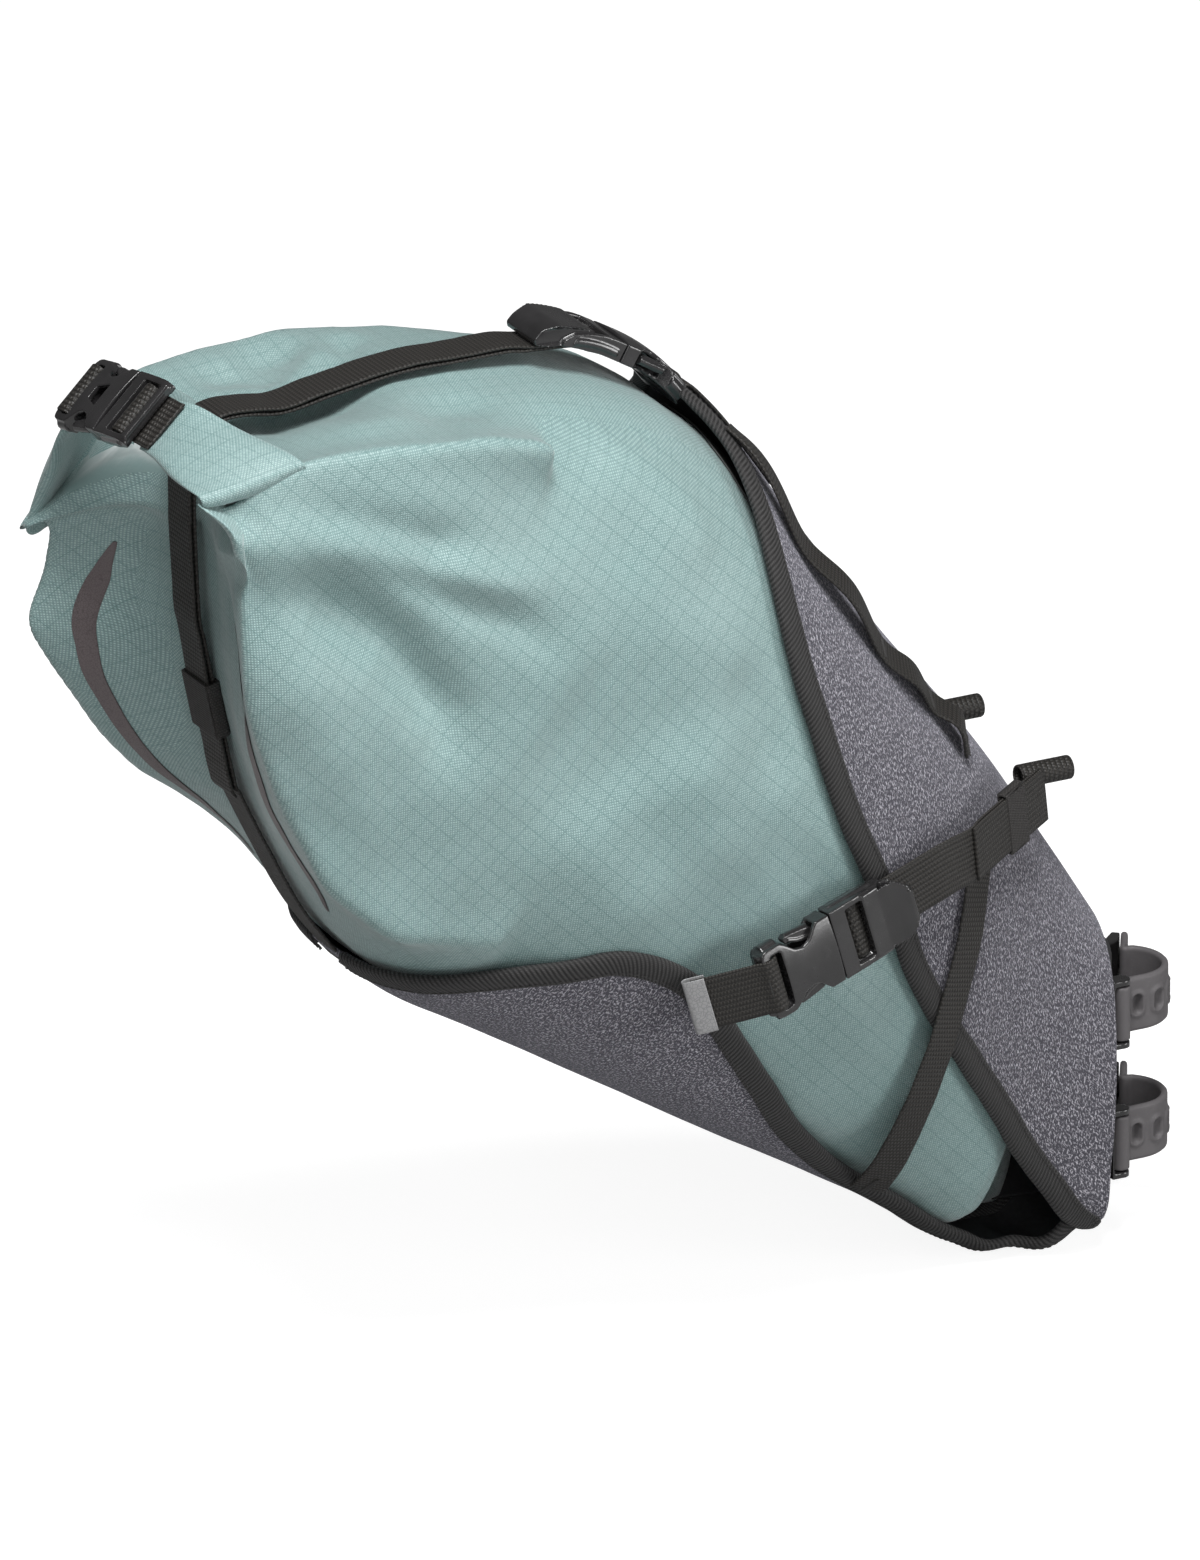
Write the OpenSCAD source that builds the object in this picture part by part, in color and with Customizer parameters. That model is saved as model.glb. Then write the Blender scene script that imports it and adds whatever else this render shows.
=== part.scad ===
// Bikepacking saddle bag: roll-top dry bag in a two-part harness, held to a seat post.
// X points forward, Y left, Z along the seat post; the origin is on the post's axis, midway
// between the two rubber straps.

/* [Seat post] */
// Radius of the seat post that the rubber straps close on
post_r = 15.8; // [13:0.1:15.8]
// Distance between the two rubber straps, centre to centre
strap_pitch = 60; // [56:1:64]
// Width of a rubber strap
strap_w = 25; // [20:1:26]
// Thickness of a rubber strap
strap_t = 3; // [2.4:0.1:3]

/* [Webbing] */
// Width of the side straps
wide_web = 25; // [22:0.5:25]
// Width of the tail strap and the daisy chains
tail_web = 20; // [18:0.5:22]
// Width of the stabiliser straps
slim_web = 16; // [12:0.5:18]
// Thickness of the webbing
web_t = 1.4; // [1:0.1:1.4]
// Radius of the saddle rails
rail_r = 3.5; // [3:0.1:3.5]
// Room between a saddle rail and its webbing eye
rail_gap = 0.3; // [0.2:0.05:0.5]

/* [Buckles] */
// Half width of a side-release buckle
buckle_hw = 16.5; // [16.5:0.5:17]
// Half thickness of a side-release buckle
buckle_ht = 4.4; // [4.4:0.1:4.6]
// Length of the female half, from its bar to its mouth
female_len = 36; // [36:1:40]
// Length of the male half behind the mouth on the side and top buckles
male_len = 38; // [34:1:40]
// Length of the male half behind the mouth on the roll-top buckle
roll_male_len = 28; // [28:1:30]

/* [Fabric] */
// Thickness of the padded harness fabric
harness_t = 2.2; // [1.6:0.1:2.2]
// Width of the binding tape
tape_w = 11; // [8:1:12]

/* [Hidden] */
$fn = 48;

teal = [0.49, 0.65, 0.63];
melange = [0.30, 0.30, 0.34];
web_black = [0.14, 0.13, 0.12];
plastic_black = [0.10, 0.10, 0.10];
rubber_grey = [0.24, 0.23, 0.22];
reflective = [0.42, 0.37, 0.38];
label_grey = [0.75, 0.75, 0.75];

// Sections of the bag from the seat post to the tail: the lower point x and z, the upper point
// x and z, the half width, and how boxy the section is (1 is an ellipse, less is squarer).
SECTIONS = [
    [ -26, -66,  -24,  73, 34, 0.75],
    [ -88, -60,  -50, 113, 44, 0.80],
    [-140, -28,  -85, 165, 62, 0.85],
    [-200,   8, -130, 222, 80, 0.85],
    [-265,  48, -180, 290, 91, 0.85],
    [-325,  85, -230, 344, 95, 0.80],
    [-376, 118, -285, 371, 94, 0.75],
    [-408, 165, -340, 378, 91, 0.70],
    [-430, 215, -388, 376, 88, 0.68],
    [-443, 270, -424, 366, 87, 0.68],
    [-445, 330, -438, 344, 88, 0.75]];
NOSE_U = 0.85;

// Layers above the bag's skin, innermost first.
stiff_in = 1.3;
stiff_out = 2.1;
harness_in = 2.8;
harness_out = harness_in + harness_t;
trim_off = harness_out + 1.2;

// Edges of the upper harness: place along the bag, and half angle covered from the top.
UPPER_EDGE = [[0.05, 139], [0.5, 127], [1.2, 110], [2.1, 99], [2.7, 91], [3.2, 84],
    [3.6, 77], [4.0, 67], [4.3, 52], [4.5, 35], [4.65, 22], [4.85, 14]];
// Edges of the lower harness: place along the bag, and half angle covered from the bottom.
LOWER_EDGE = [[0.05, 37], [0.5, 30], [1.0, 20], [1.5, 15], [2.1, 17], [2.8, 30],
    [3.3, 44], [3.8, 55], [4.2, 60], [4.7, 57], [5.1, 47], [5.6, 35], [6.0, 22], [6.35, 8]];

// Routes on the bag's skin: place along the bag, angle round it on the right side, height.
STABILISER = [[2.18, 144], [2.22, 155], [2.2, 175], [2.2, 190], [2.2, 211], [2.15, 232], [2.1, 250]];
stabiliser_off = 7.9;
DAISY = [[4.7, 104], [4.1, 119], [3.3, 122], [2.75, 119], [2.35, 122]];
REFLECTOR = [[6.6, 243], [7.6, 240], [8.6, 238], [9.5, 238]];

// Tail strap in the middle plane, from the lower harness up the rear to the top buckle.
TAIL_UP = [[-372, 0, 105], [-386, 0, 119], [-402, 0, 146], [-418, 0, 176], [-432, 0, 205],
    [-435, 0, 213], [-449, 0, 279], [-451, 0, 289], [-453, 0, 330], [-453, 0, 352]];
TAIL_TOP = [[-452, 0, 366], [-447, 0, 376], [-439, 0, 382], [-427, 0, 384], [-400, 0, 384],
    [-360, 0, 384], [-330, 0, 384], [-305, 0, 386]];

// Roll of the closure, left half: centre points and the turn of its flat side.
ROLL_PATH = [[-441, 0, 360], [-441, 40, 360], [-446, 68, 361], [-459, 84, 366],
    [-470, 83, 370], [-476, 68, 372], [-476, 48, 372], [-473, 30, 373]];
ROLL_TURN = [0, 0, 0, 8, 22, 36, 46, 52];
ROLL_HALF_H = [13.5, 13.5, 14, 15, 15, 15, 13.5, 12.5];
ROLL_HALF_T = [4.5, 4.5, 4.5, 4.5, 4, 3.6, 3, 2.4];
// How much the ring behind the roll rises towards the right, with the buckle.
ROLL_RISE = 0.19;
ROLL_RISE_FROM = [-446, -474];

// Places of the four buckles: the mouth, the way the male half pulls out, and the outward side.
SIDE_AT = [-197, -100, 124];
SIDE_PULL = [0.95, 0.14, 0.275];
SIDE_OUT = [0.14, -0.99, 0.05];
TOP_AT = [-252, 0, 374];
TOP_PULL = [-0.863, 0, 0.505];
TOP_OUT = [0.505, 0, 0.863];
ROLL_AT = [-480, 4, 385];
ROLL_PULL = [0, -0.982, 0.187];
ROLL_OUT = [-0.64, 0, 0.77];

// Side strap beyond the straight stretch that its male half slides along.
SIDE_END = [[-118, -80, 143], [-108, -73, 144.5], [-68, -49, 150.5]];
KEEPER_AT = [-88, -61, 147.5];
LOOP_AT = [-62, -40, 156];

// --- helpers ---

function unit(v) = v / norm(v);
function last(list) = len(list) - 1;
function flip(p) = [p[0], -p[1], p[2]];
function power(x, n) = sign(x) * pow(abs(x), n);

// Smooth curve through the entries of a list at the real index u.
function along(list, u) =
    let (n = last(list), v = min(max(u, 0), n), i = min(floor(v), n - 1), f = v - i,
        a = list[max(i - 1, 0)], b = list[i], c = list[i + 1], d = list[min(i + 2, n)])
    b + 0.5 * f * (c - a + f * (2 * a - 5 * b + 4 * c - d + f * (3 * (b - c) + d - a)));

// The list refined to k steps between its entries.
function refine(list, k) = [for (i = [0 : last(list) * k]) along(list, i / k)];

// A point of the bag: place u, angle a from the left side over the top, height h above the skin.
function skin(u, a, h = 0) =
    let (r = along(SECTIONS, u), mid = [r[0] + r[2], r[1] + r[3]] / 2,
        up = [r[2] - r[0], r[3] - r[1]] / 2, tall = norm(up), dir = up / tall,
        ny = power(cos(a), 2 - r[5]) / r[4], nz = power(sin(a), 2 - r[5]) / tall,
        m = norm([ny, nz]), y = r[4] * power(cos(a), r[5]) + h * ny / m,
        k = tall * power(sin(a), r[5]) + h * nz / m)
    [mid[0] + dir[0] * k, y, mid[1] + dir[1] * k];

// The outward side of the bag there.
function skin_out(u, a) =
    unit(cross(skin(u, a + 2) - skin(u, a - 2), skin(u - 0.05, a) - skin(u + 0.05, a)));

function direction(p, i) = unit(p[min(i + 1, last(p))] - p[max(i - 1, 0)]);

// A flat band that follows the points p with the outward directions n.
module ribbon(p, n, width, thick) {
    pts = [for (i = [0 : last(p)])
        let (t = direction(p, i), s = unit(cross(t, n[i])), m = cross(s, t),
            a = s * width / 2, b = m * thick / 2)
        each [p[i] + a + b, p[i] - a + b, p[i] - a - b, p[i] + a - b]];
    e = len(pts);
    faces = [[3, 2, 1, 0], [e - 4, e - 3, e - 2, e - 1],
        for (i = [0 : last(p) - 1], k = [0 : 3])
            let (a = 4 * i + k, b = 4 * i + (k + 1) % 4)
            each [[a, b, b + 4], [a, b + 4, a + 4]]];
    polyhedron(pts, faces);
}

// A flat band whose points all lie in one plane across Y.
module flat_ribbon(p, width, thick) {
    ribbon(p, [for (i = [0 : last(p)]) cross(direction(p, i), [0, 1, 0])], width, thick);
}

// A closed skin between two grids of points.
module shell(outer, inner) {
    r = len(outer);
    c = len(outer[0]);
    o = r * c;
    pts = [for (row = outer) each row, for (row = inner) each row];
    faces = [
        for (i = [0 : r - 2], j = [0 : c - 2]) let (k = i * c + j)
            each [[k, k + 1, k + c + 1], [k, k + c + 1, k + c],
                [o + k, o + k + c + 1, o + k + 1], [o + k, o + k + c, o + k + c + 1]],
        for (j = [0 : c - 2]) let (k = (r - 1) * c + j)
            each [[j, o + j, o + j + 1], [j, o + j + 1, j + 1],
                [k, k + 1, o + k + 1], [k, o + k + 1, o + k]],
        for (i = [0 : r - 2]) let (k = i * c, m = i * c + c - 1)
            each [[k, k + c, o + k + c], [k, o + k + c, o + k],
                [m, o + m, o + m + c], [m, o + m + c, m + c]]];
    polyhedron(pts, faces);
}

// A solid through closed rings of points.
module loft(rings) {
    r = len(rings);
    c = len(rings[0]);
    one = [for (k = [1 : c]) 1];
    pts = [for (ring = rings) each ring, one * rings[0] / c, one * rings[r - 1] / c];
    faces = [
        for (i = [0 : r - 2], j = [0 : c - 1])
            let (k = i * c + j, m = i * c + (j + 1) % c)
            each [[k, m, m + c], [k, m + c, k + c]],
        for (j = [0 : c - 1]) let (b = (r - 1) * c)
            each [[(j + 1) % c, j, r * c], [b + j, b + (j + 1) % c, r * c + 1]]];
    polyhedron(pts, faces);
}

// Puts children's X along x and their Z as near z as a right angle allows, at the point at.
module place(at, x, z) {
    a = unit(x);
    b = unit(cross(z, a));
    c = cross(a, b);
    multmatrix([[a[0], b[0], c[0], at[0]], [a[1], b[1], c[1], at[1]],
        [a[2], b[2], c[2], at[2]], [0, 0, 0, 1]]) children();
}

module left() mirror([0, 1, 0]) children();
module at_side() place(SIDE_AT, SIDE_PULL, SIDE_OUT) children();
module at_top() place(TOP_AT, TOP_PULL, TOP_OUT) children();
module at_roll() place(ROLL_AT, ROLL_PULL, ROLL_OUT) children();

// A point given in a buckle's own axes.
function in_place(at, x, z, p) =
    let (a = unit(x), b = unit(cross(z, a)), c = cross(a, b))
    at + a * p[0] + b * p[1] + c * p[2];

module block(lo, hi) translate(lo) cube(hi - lo);

// --- dry bag and its closure ---

module dry_bag() {
    sides = 44;
    // The nose is pulled in over its first stretch, the tail ends in a flat line.
    ring_u = [NOSE_U, 0.88, 0.98, 1.15, for (i = [3 : 20]) i / 2];
    pull = [0.62, 0.80, 0.92, 0.98, for (i = [3 : 20]) 1];
    color(teal)
    loft([for (i = [0 : last(ring_u)])
        let (lo = skin(ring_u[i], 270), hi = skin(ring_u[i], 90), mid = (lo + hi) / 2)
        [for (k = [0 : sides - 1])
            mid + (skin(ring_u[i], k * 360 / sides) - mid) * pull[i]]]);
}

function risen(p) =
    let (far = (ROLL_RISE_FROM[0] - p[0]) / (ROLL_RISE_FROM[0] - ROLL_RISE_FROM[1]))
    [p[0], p[1], p[2] - ROLL_RISE * p[1] * min(max(far, 0), 1)];

function roll_ring(u, side) =
    let (c = along(ROLL_PATH, u), t = unit(along(ROLL_PATH, u + 0.1) - along(ROLL_PATH, u - 0.1)),
        turn = along(ROLL_TURN, u), h = along(ROLL_HALF_H, u), w = along(ROLL_HALF_T, u),
        tall = [sin(turn), 0, cos(turn)], n = unit(cross(t, tall)), m = cross(n, t))
    [for (k = [0 : 13]) let (a = -k * 360 / 14, p = c + m * h * cos(a) + n * w * sin(a))
        risen(side > 0 ? p : flip(p))];

module roll_closure() {
    steps = 3;
    n = last(ROLL_PATH) * steps;
    color(teal)
    difference() {
        loft([for (i = [n : -1 : 1]) roll_ring(i / steps, -1), for (i = [0 : n])
            roll_ring(i / steps, 1)]);
        translate(ROLL_PATH[0]) cube([2, 76, 19], center = true);
    }
}

module closure_strip() {
    color(web_black) translate(ROLL_PATH[0]) cube([1.4, 75, 18], center = true);
}

module reflector(width = 12) {
    route = refine(REFLECTOR, 4);
    ribbon([for (q = route) skin(q[0], q[1], 1.1)], [for (q = route) skin_out(q[0], q[1])],
        width, 0.6);
}
module reflector_right() { color(reflective) reflector(); }
module reflector_left() { color(reflective) left() reflector(); }

// --- harness ---

// A panel between two edges that lie the same angle either side of the middle angle.
module panel(edge, middle, steps, cols, lo, hi) {
    rows = refine(edge, steps);
    grid = function (h) [for (r = rows)
        [for (j = [0 : cols]) skin(r[0], middle + r[1] * (2 * j / cols - 1), h)]];
    shell(grid(hi), grid(lo));
}

module upper_harness() {
    color(melange) panel(UPPER_EDGE, 90, 2, 30, harness_in, harness_out);
}
module lower_harness() {
    color(melange) panel(LOWER_EDGE, 270, 2, 20, harness_in, harness_out);
}
module upper_stiffener() {
    edge = [for (e = UPPER_EDGE) if (e[1] > 30) [e[0] + 0.15, (e[1] - 12) * 0.75]];
    color(web_black) panel(edge, 90, 1, 16, stiff_in, stiff_out);
}
module base_stiffener() {
    edge = [for (e = LOWER_EDGE) if (e[0] > 0.9 && e[1] > 14) [e[0], e[1] * 0.7]];
    color(web_black) panel(edge, 270, 1, 12, stiff_in, stiff_out);
}

// Tape folded over one edge of a panel, drawn as the outer leaf.
module binding(edge, middle, side, inset) {
    rows = refine(edge, 2);
    q = [for (r = rows) [r[0], middle + side * (r[1] - inset)]];
    ribbon([for (r = q) skin(r[0], r[1], trim_off)], [for (r = q) skin_out(r[0], r[1])],
        tape_w, 1.2);
}
module upper_binding_right() { color(web_black) binding(UPPER_EDGE, 90, 1, 3.5); }
module upper_binding_left() { color(web_black) binding(UPPER_EDGE, 90, -1, 3.5); }
module lower_binding_right() { color(web_black) binding(LOWER_EDGE, 270, -1, 3.5); }
module lower_binding_left() { color(web_black) binding(LOWER_EDGE, 270, 1, 3.5); }

module rounded_plate(x0, x1, hw, z0, z1, r) {
    intersection() {
        block([x0, -hw, z0], [x1, hw, z1]);
        union() {
            block([x0 - 1, -hw + r, z0], [x1 + 1, hw - r, z1]);
            block([x0 - 1, -hw, z0 + r], [x1 + 1, hw, z1 - r]);
            for (y = [-hw + r, hw - r], z = [z0 + r, z1 - r])
                translate([x0 - 1, y, z]) rotate([0, 90, 0]) cylinder(r = r, h = x1 - x0 + 2);
        }
    }
}

panel_back = -25.5;
panel_front = -20.6;
plate_back = panel_front + 0.3;
plate_front = plate_back + 1.2;
pad_front = -post_r - 0.4;
module front_panel() {
    color(melange) rounded_plate(panel_back, panel_front, 28, -54, 66, 9);
}
module grip_pad() {
    color(rubber_grey) difference() {
        rounded_plate(plate_front + 0.2, pad_front, 12, -50, 62, 4);
        for (z = [-40 : 10 : 50])
            block([pad_front - 0.8, -20, z], [pad_front + 1, 20, z + 3]);
    }
}

// --- daisy chains and straps on the harness ---

module daisy() {
    k = 10;
    route = refine(DAISY, k);
    // Each loop stands clear of the harness between two rows of stitches.
    h = [for (i = [0 : last(route)]) trim_off + 1.6 + 5.5 * pow(sin(180 * i / k), 2)];
    ribbon([for (i = [0 : last(route)]) skin(route[i][0], route[i][1], h[i])],
        [for (q = route) skin_out(q[0], q[1])], slim_web - 2, web_t);
}
module daisy_right() { color(web_black) daisy(); }
module daisy_left() { color(web_black) left() daisy(); }

module stabiliser() {
    route = refine(STABILISER, 3);
    ribbon([for (q = route) skin(q[0], q[1], stabiliser_off)],
        [for (q = route) skin_out(q[0], q[1])], slim_web, web_t);
}
module stabiliser_right() { color(web_black) stabiliser(); }
module stabiliser_left() { color(web_black) left() stabiliser(); }

channel_z = -buckle_ht + 0.5;
module side_strap() {
    straight = [for (x = [12, 30, 48, 66])
        in_place(SIDE_AT, SIDE_PULL, SIDE_OUT, [x, 0, channel_z])];
    p = concat(straight, SIDE_END);
    ribbon(p, [for (i = [0 : last(p)]) i < 4 ? SIDE_OUT : [0.5, -0.86, 0.03]], wide_web, web_t);
}
module side_strap_right() { color(web_black) side_strap(); }
module side_strap_left() { color(web_black) left() side_strap(); }

// Webbing eye that a saddle rail passes through.
module rail_loop() {
    translate(LOOP_AT) rotate([0, 90, 0]) difference() {
        cylinder(r = rail_r + rail_gap + web_t, h = wide_web, center = true);
        cylinder(r = rail_r + rail_gap, h = wide_web + 2, center = true);
    }
}
module rail_loop_right() { color(web_black) rail_loop(); }
module rail_loop_left() { color(web_black) left() rail_loop(); }

// Elastic band round a strap, with its slot along X.
module keeper_band(length, width, height) {
    wall = 1.3;
    difference() {
        block([-length / 2, -width / 2 - wall, -height / 2 - wall],
            [length / 2, width / 2 + wall, height / 2 + wall]);
        block([-length, -width / 2, -height / 2], [length, width / 2, height / 2]);
    }
}
module keeper() {
    place(KEEPER_AT, SIDE_END[2] - SIDE_END[1], [0.5, -0.86, 0.03])
        keeper_band(15, wide_web + 1.2, web_t + 1.4);
}
module keeper_right() { color(web_black) keeper(); }
module keeper_left() { color(web_black) left() keeper(); }

// --- side-release buckle, in its own axes: X pulls out, Z outward, the mouth at X = 0 ---

ring_len = 8;
guide_hw = 13.7;
cavity_ht = buckle_ht - 1.8;
arm_ht = cavity_ht - 0.4;
arm_pivot = [4, 10.5];
knuckle_r = 2.4;

module buckle_female() {
    rear = -female_len;
    difference() {
        union() {
            block([rear + 2, -buckle_hw, -buckle_ht], [0, buckle_hw, buckle_ht]);
            for (z = [-1, 1])
                translate([rear + 2, 0, z]) rotate([90, 0, 0])
                    cylinder(r = buckle_ht - 1, h = 2 * buckle_hw, center = true);
        }
        block([-24, -guide_hw, -cavity_ht], [1, guide_hw, cavity_ht]);
        // Side windows, where the arms show and are pressed.
        for (s = [-1, 1]) {
            translate([-16, s * (buckle_hw + 3), 0])
                cylinder(r = 7.5, h = 30, center = true);
            block([-24, s < 0 ? -20 : 10, -cavity_ht], [-ring_len, s < 0 ? -10 : 20, cavity_ht]);
        }
        // Slot for the webbing.
        block([-33, -13.4, -buckle_ht - 1], [-27, 13.4, buckle_ht + 1]);
        // Four-sided window over the guide tongue.
        translate([0, 0, buckle_ht - 1])
            linear_extrude(3) polygon([[-20, -3], [-20, 3], [-12, 5.5], [-12, -5.5]]);
    }
}

module buckle_male(length) {
    end = length;
    rail_in = 13.3;
    base_lo = -buckle_ht + 1.5;
    difference() {
        union() {
            block([0.4, -buckle_hw, base_lo], [8, buckle_hw, buckle_ht]);
            for (s = [-1, 1])
                block([0.4, s < 0 ? -buckle_hw : rail_in, -buckle_ht],
                    [end - 3, s < 0 ? -rail_in : buckle_hw, buckle_ht]);
            // Ladder bars over the strap, and the tab that tilts the ladder lock.
            for (x = length > 32 ? [12, end - 13] : [12])
                block([x, -buckle_hw, base_lo], [x + 3, buckle_hw, 1.6]);
            translate([end - 3, 0, 1.2]) rotate([90, 0, 0])
                cylinder(r = 3, h = 2 * buckle_hw, center = true);
            // Guide tongue between the arms.
            block([-15, -3, -1.8], [2, 3, 1.8]);
        }
        for (s = [-1, 1]) {
            translate([arm_pivot[0], s * arm_pivot[1], 0])
                cylinder(r = knuckle_r + 0.1, h = 2 * arm_ht + 0.4, center = true);
            block([-1, s < 0 ? -12.7 : 7, -arm_ht - 0.2],
                [arm_pivot[0], s < 0 ? -7 : 12.7, arm_ht + 0.2]);
        }
    }
}

// One springy arm, on the side of positive Y.
module buckle_arm() {
    translate([0, 0, -arm_ht]) linear_extrude(2 * arm_ht) union() {
        translate(arm_pivot) circle(r = knuckle_r);
        polygon([[4, 8.4], [4, 12.4], [-8, 13.1], [-12, 13.8], [-16, 14.7], [-20, 15.8],
            [-22.4, 16], [-23.2, 15], [-22, 12.2], [-18, 10.4], [-8, 9.6]]);
    }
}

// Webbing's way up between the base and the first ladder bar.
BAR_RISE = [[9.4, 0, -2.0], [9.6, 0, 1.0], [10.6, 0, 2.6], [12.4, 0, 3.2]];
// Webbing's way round the female half's bar.
BAR_WRAP = [[-28.5, 0, -2.6], [-29.3, 0, 1], [-31, 0, 4.6], [-34, 0, 5.6], [-36.6, 0, 5.0],
    [-39, 0, 2.2]];

// Webbing turned over the ladder bars of a male half; it moves with that half.
module buckle_turn(length, width) {
    p = concat(BAR_RISE, [[length - 11.4, 0, 3.2], [length - 9.4, 0, 2.9],
        [length - 8.1, 0, 1.6], [length - 8, 0, -2.2]]);
    flat_ribbon(p, width, 1.2);
}

module side_female_right() { color(plastic_black) at_side() buckle_female(); }
module side_male_right() { color(plastic_black) at_side() buckle_male(male_len); }
module side_arm_top_right() { color(plastic_black) at_side() buckle_arm(); }
module side_arm_low_right() { color(plastic_black) at_side() left() buckle_arm(); }
module side_turn_right() { color(web_black) at_side() buckle_turn(male_len, wide_web); }
module side_female_left() { left() side_female_right(); }
module side_male_left() { left() side_male_right(); }
module side_arm_top_left() { left() side_arm_top_right(); }
module side_arm_low_left() { left() side_arm_low_right(); }
module side_turn_left() { left() side_turn_right(); }

// Webbing from the female half's bar to the corner of the lower harness.
module side_tab() {
    local = concat(BAR_WRAP, [[-50, 0, -5], [-63, 0, -14]]);
    p = [for (q = local) in_place(SIDE_AT, SIDE_PULL, SIDE_OUT, q)];
    ribbon(p, [for (i = [0 : last(p)])
        let (d = direction(local, i), n = cross(d, [0, 1, 0]))
        in_place([0, 0, 0], SIDE_PULL, SIDE_OUT, n)], wide_web, web_t);
}
module side_tab_right() { color(web_black) side_tab(); }
module side_tab_left() { color(web_black) left() side_tab(); }

// Reflective label folded round the end of the tab.
module side_label() {
    // The tab's end slopes in towards the harness.
    at_side() translate([-63, 0, -14]) rotate([0, -34.7, 0]) difference() {
        block([-3.5, -13, -1.9], [6, 13, 1.9]);
        block([-1, -14, -1.1], [20, 14, 1.1]);
    }
}
module side_label_right() { color(label_grey) side_label(); }
module side_label_left() { color(label_grey) left() side_label(); }

// --- tail strap and the top buckle ---

top_channel = [for (x = [40, 26, 12])
    in_place(TOP_AT, TOP_PULL, TOP_OUT, [x, 0, channel_z])];
function shifted(p, d) =
    [for (i = [0 : last(p)]) p[i] + cross(direction(p, i), [0, 1, 0]) * d];

module tail_strap() {
    color(web_black) flat_ribbon(concat(TAIL_UP, TAIL_TOP, top_channel), tail_web, web_t);
}
module tail_free_end() {
    p = shifted(concat([for (i = [4 : last(TAIL_UP)]) TAIL_UP[i]], TAIL_TOP), 2.4);
    color(web_black) flat_ribbon(p, tail_web, web_t);
}
module tail_keeper() {
    a = TAIL_UP[5];
    b = TAIL_UP[6];
    d = unit(b - a);
    out = cross(d, [0, 1, 0]);
    color(web_black) place((a + b) / 2 + out * 1.2, d, out)
        keeper_band(26, tail_web + 1.2, 2 * web_t + 2);
}
module top_female() { color(plastic_black) at_top() buckle_female(); }
module top_male() { color(plastic_black) at_top() buckle_male(male_len); }
module top_arm_right() { color(plastic_black) at_top() buckle_arm(); }
module top_arm_left() { color(plastic_black) at_top() left() buckle_arm(); }
module top_turn() { color(web_black) at_top() buckle_turn(male_len, tail_web); }

// Webbing that holds the top buckle's female half to the upper harness.
module top_anchor() {
    p = concat([for (q = BAR_WRAP) in_place(TOP_AT, TOP_PULL, TOP_OUT, q)],
        [for (u = [4.6, 4.3, 4.0]) skin(u, 90, trim_off + 1.6)]);
    color(web_black) ribbon(p, [for (i = [0 : last(p)]) cross(direction(p, i), [0, 1, 0])],
        tail_web, web_t);
}

// --- roll-top buckle and its webbing ---

module roll_female() { color(plastic_black) at_roll() buckle_female(); }
module roll_male() { color(plastic_black) at_roll() buckle_male(roll_male_len); }
module roll_arm_front() { color(plastic_black) at_roll() buckle_arm(); }
module roll_arm_rear() { color(plastic_black) at_roll() left() buckle_arm(); }
module roll_web() {
    color(web_black) at_roll() flat_ribbon(concat(BAR_RISE, [[15.5, 0, 3.1], [17.2, 0, 1.8],
        [18.4, 0, -0.6], [20.4, 0, -3.0], [24, 0, -3.9], [30, 0, -4.6], [44, 0, -4.6]]),
        wide_web, 1.2);
}
module roll_tab() {
    color(web_black) at_roll() flat_ribbon(concat(BAR_WRAP, [[-43, 0, -2.4], [-48, 0, -4.6],
        [-60, 0, -4.6]]), wide_web, 1.2);
}

// --- rubber straps on the seat post ---

mid_r = post_r + strap_t / 2;
root_at = [-14.6, -23.5];
tab_angle = 60;
tab_start = 44.5;
tab_end = 69;
stud_at = 57;
arc_end = 63;
function root_way(s) = root_at + s * [cos(tab_angle), sin(tab_angle)];

module band_outline() {
    // Arc round the post, the straight run back to the root, and the tab on the other side.
    difference() {
        circle(r = post_r + strap_t);
        circle(r = post_r);
        polygon([[0, 0], [-60, 0], [-60, -60], [0, -60]]);
        polygon([[0, 0], 40 * [cos(arc_end), sin(arc_end)], [0, 60], [-60, 60], [-60, -1]]);
    }
    translate([root_at[0], -post_r - strap_t]) square([0.2 - root_at[0], strap_t]);
    translate(root_at) rotate(tab_angle) translate([tab_start, -strap_t / 2])
        square([tab_end - tab_start, strap_t]);
    translate(root_at) circle(r = 4.2);
    translate([root_at[0] - 1, root_at[1]]) square([5, -post_r - root_at[1]]);
}

module rubber_strap(z) {
    slot_pitch = 10;
    first_slot = -2.06;
    straight_slot_x = -3.6;
    difference() {
        translate([0, 0, z - strap_w / 2]) linear_extrude(strap_w) band_outline();
        translate([root_at[0], root_at[1], z - 30]) cylinder(r = 2.05, h = 60);
        // Oval holes along the band and on its straight run.
        for (k = [first_slot : 1 : first_slot + 3])
            rotate([0, 0, k * slot_pitch / mid_r * 180 / PI]) oval_slot(z);
        translate([straight_slot_x, 0, 0]) rotate([0, 0, -90]) oval_slot(z);
        // Hole that hooks on the stud.
        translate([root_way(stud_at)[0], root_way(stud_at)[1], z]) rotate([0, 0, tab_angle])
            rotate([90, 0, 0]) cylinder(r = 3.4, h = 20, center = true);
    }
}
module oval_slot(z) {
    for (dz = [-2.2, 2.2])
        translate([post_r - 4, 0, z + dz]) rotate([0, 90, 0]) cylinder(r = 2.2, h = 12);
    block([post_r - 4, -2.2, z - 2.2], [post_r + 8, 2.2, z + 2.2]);
}
module strap_upper() { color(rubber_grey) rubber_strap(strap_pitch / 2); }
module strap_lower() { color(rubber_grey) rubber_strap(-strap_pitch / 2); }

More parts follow.
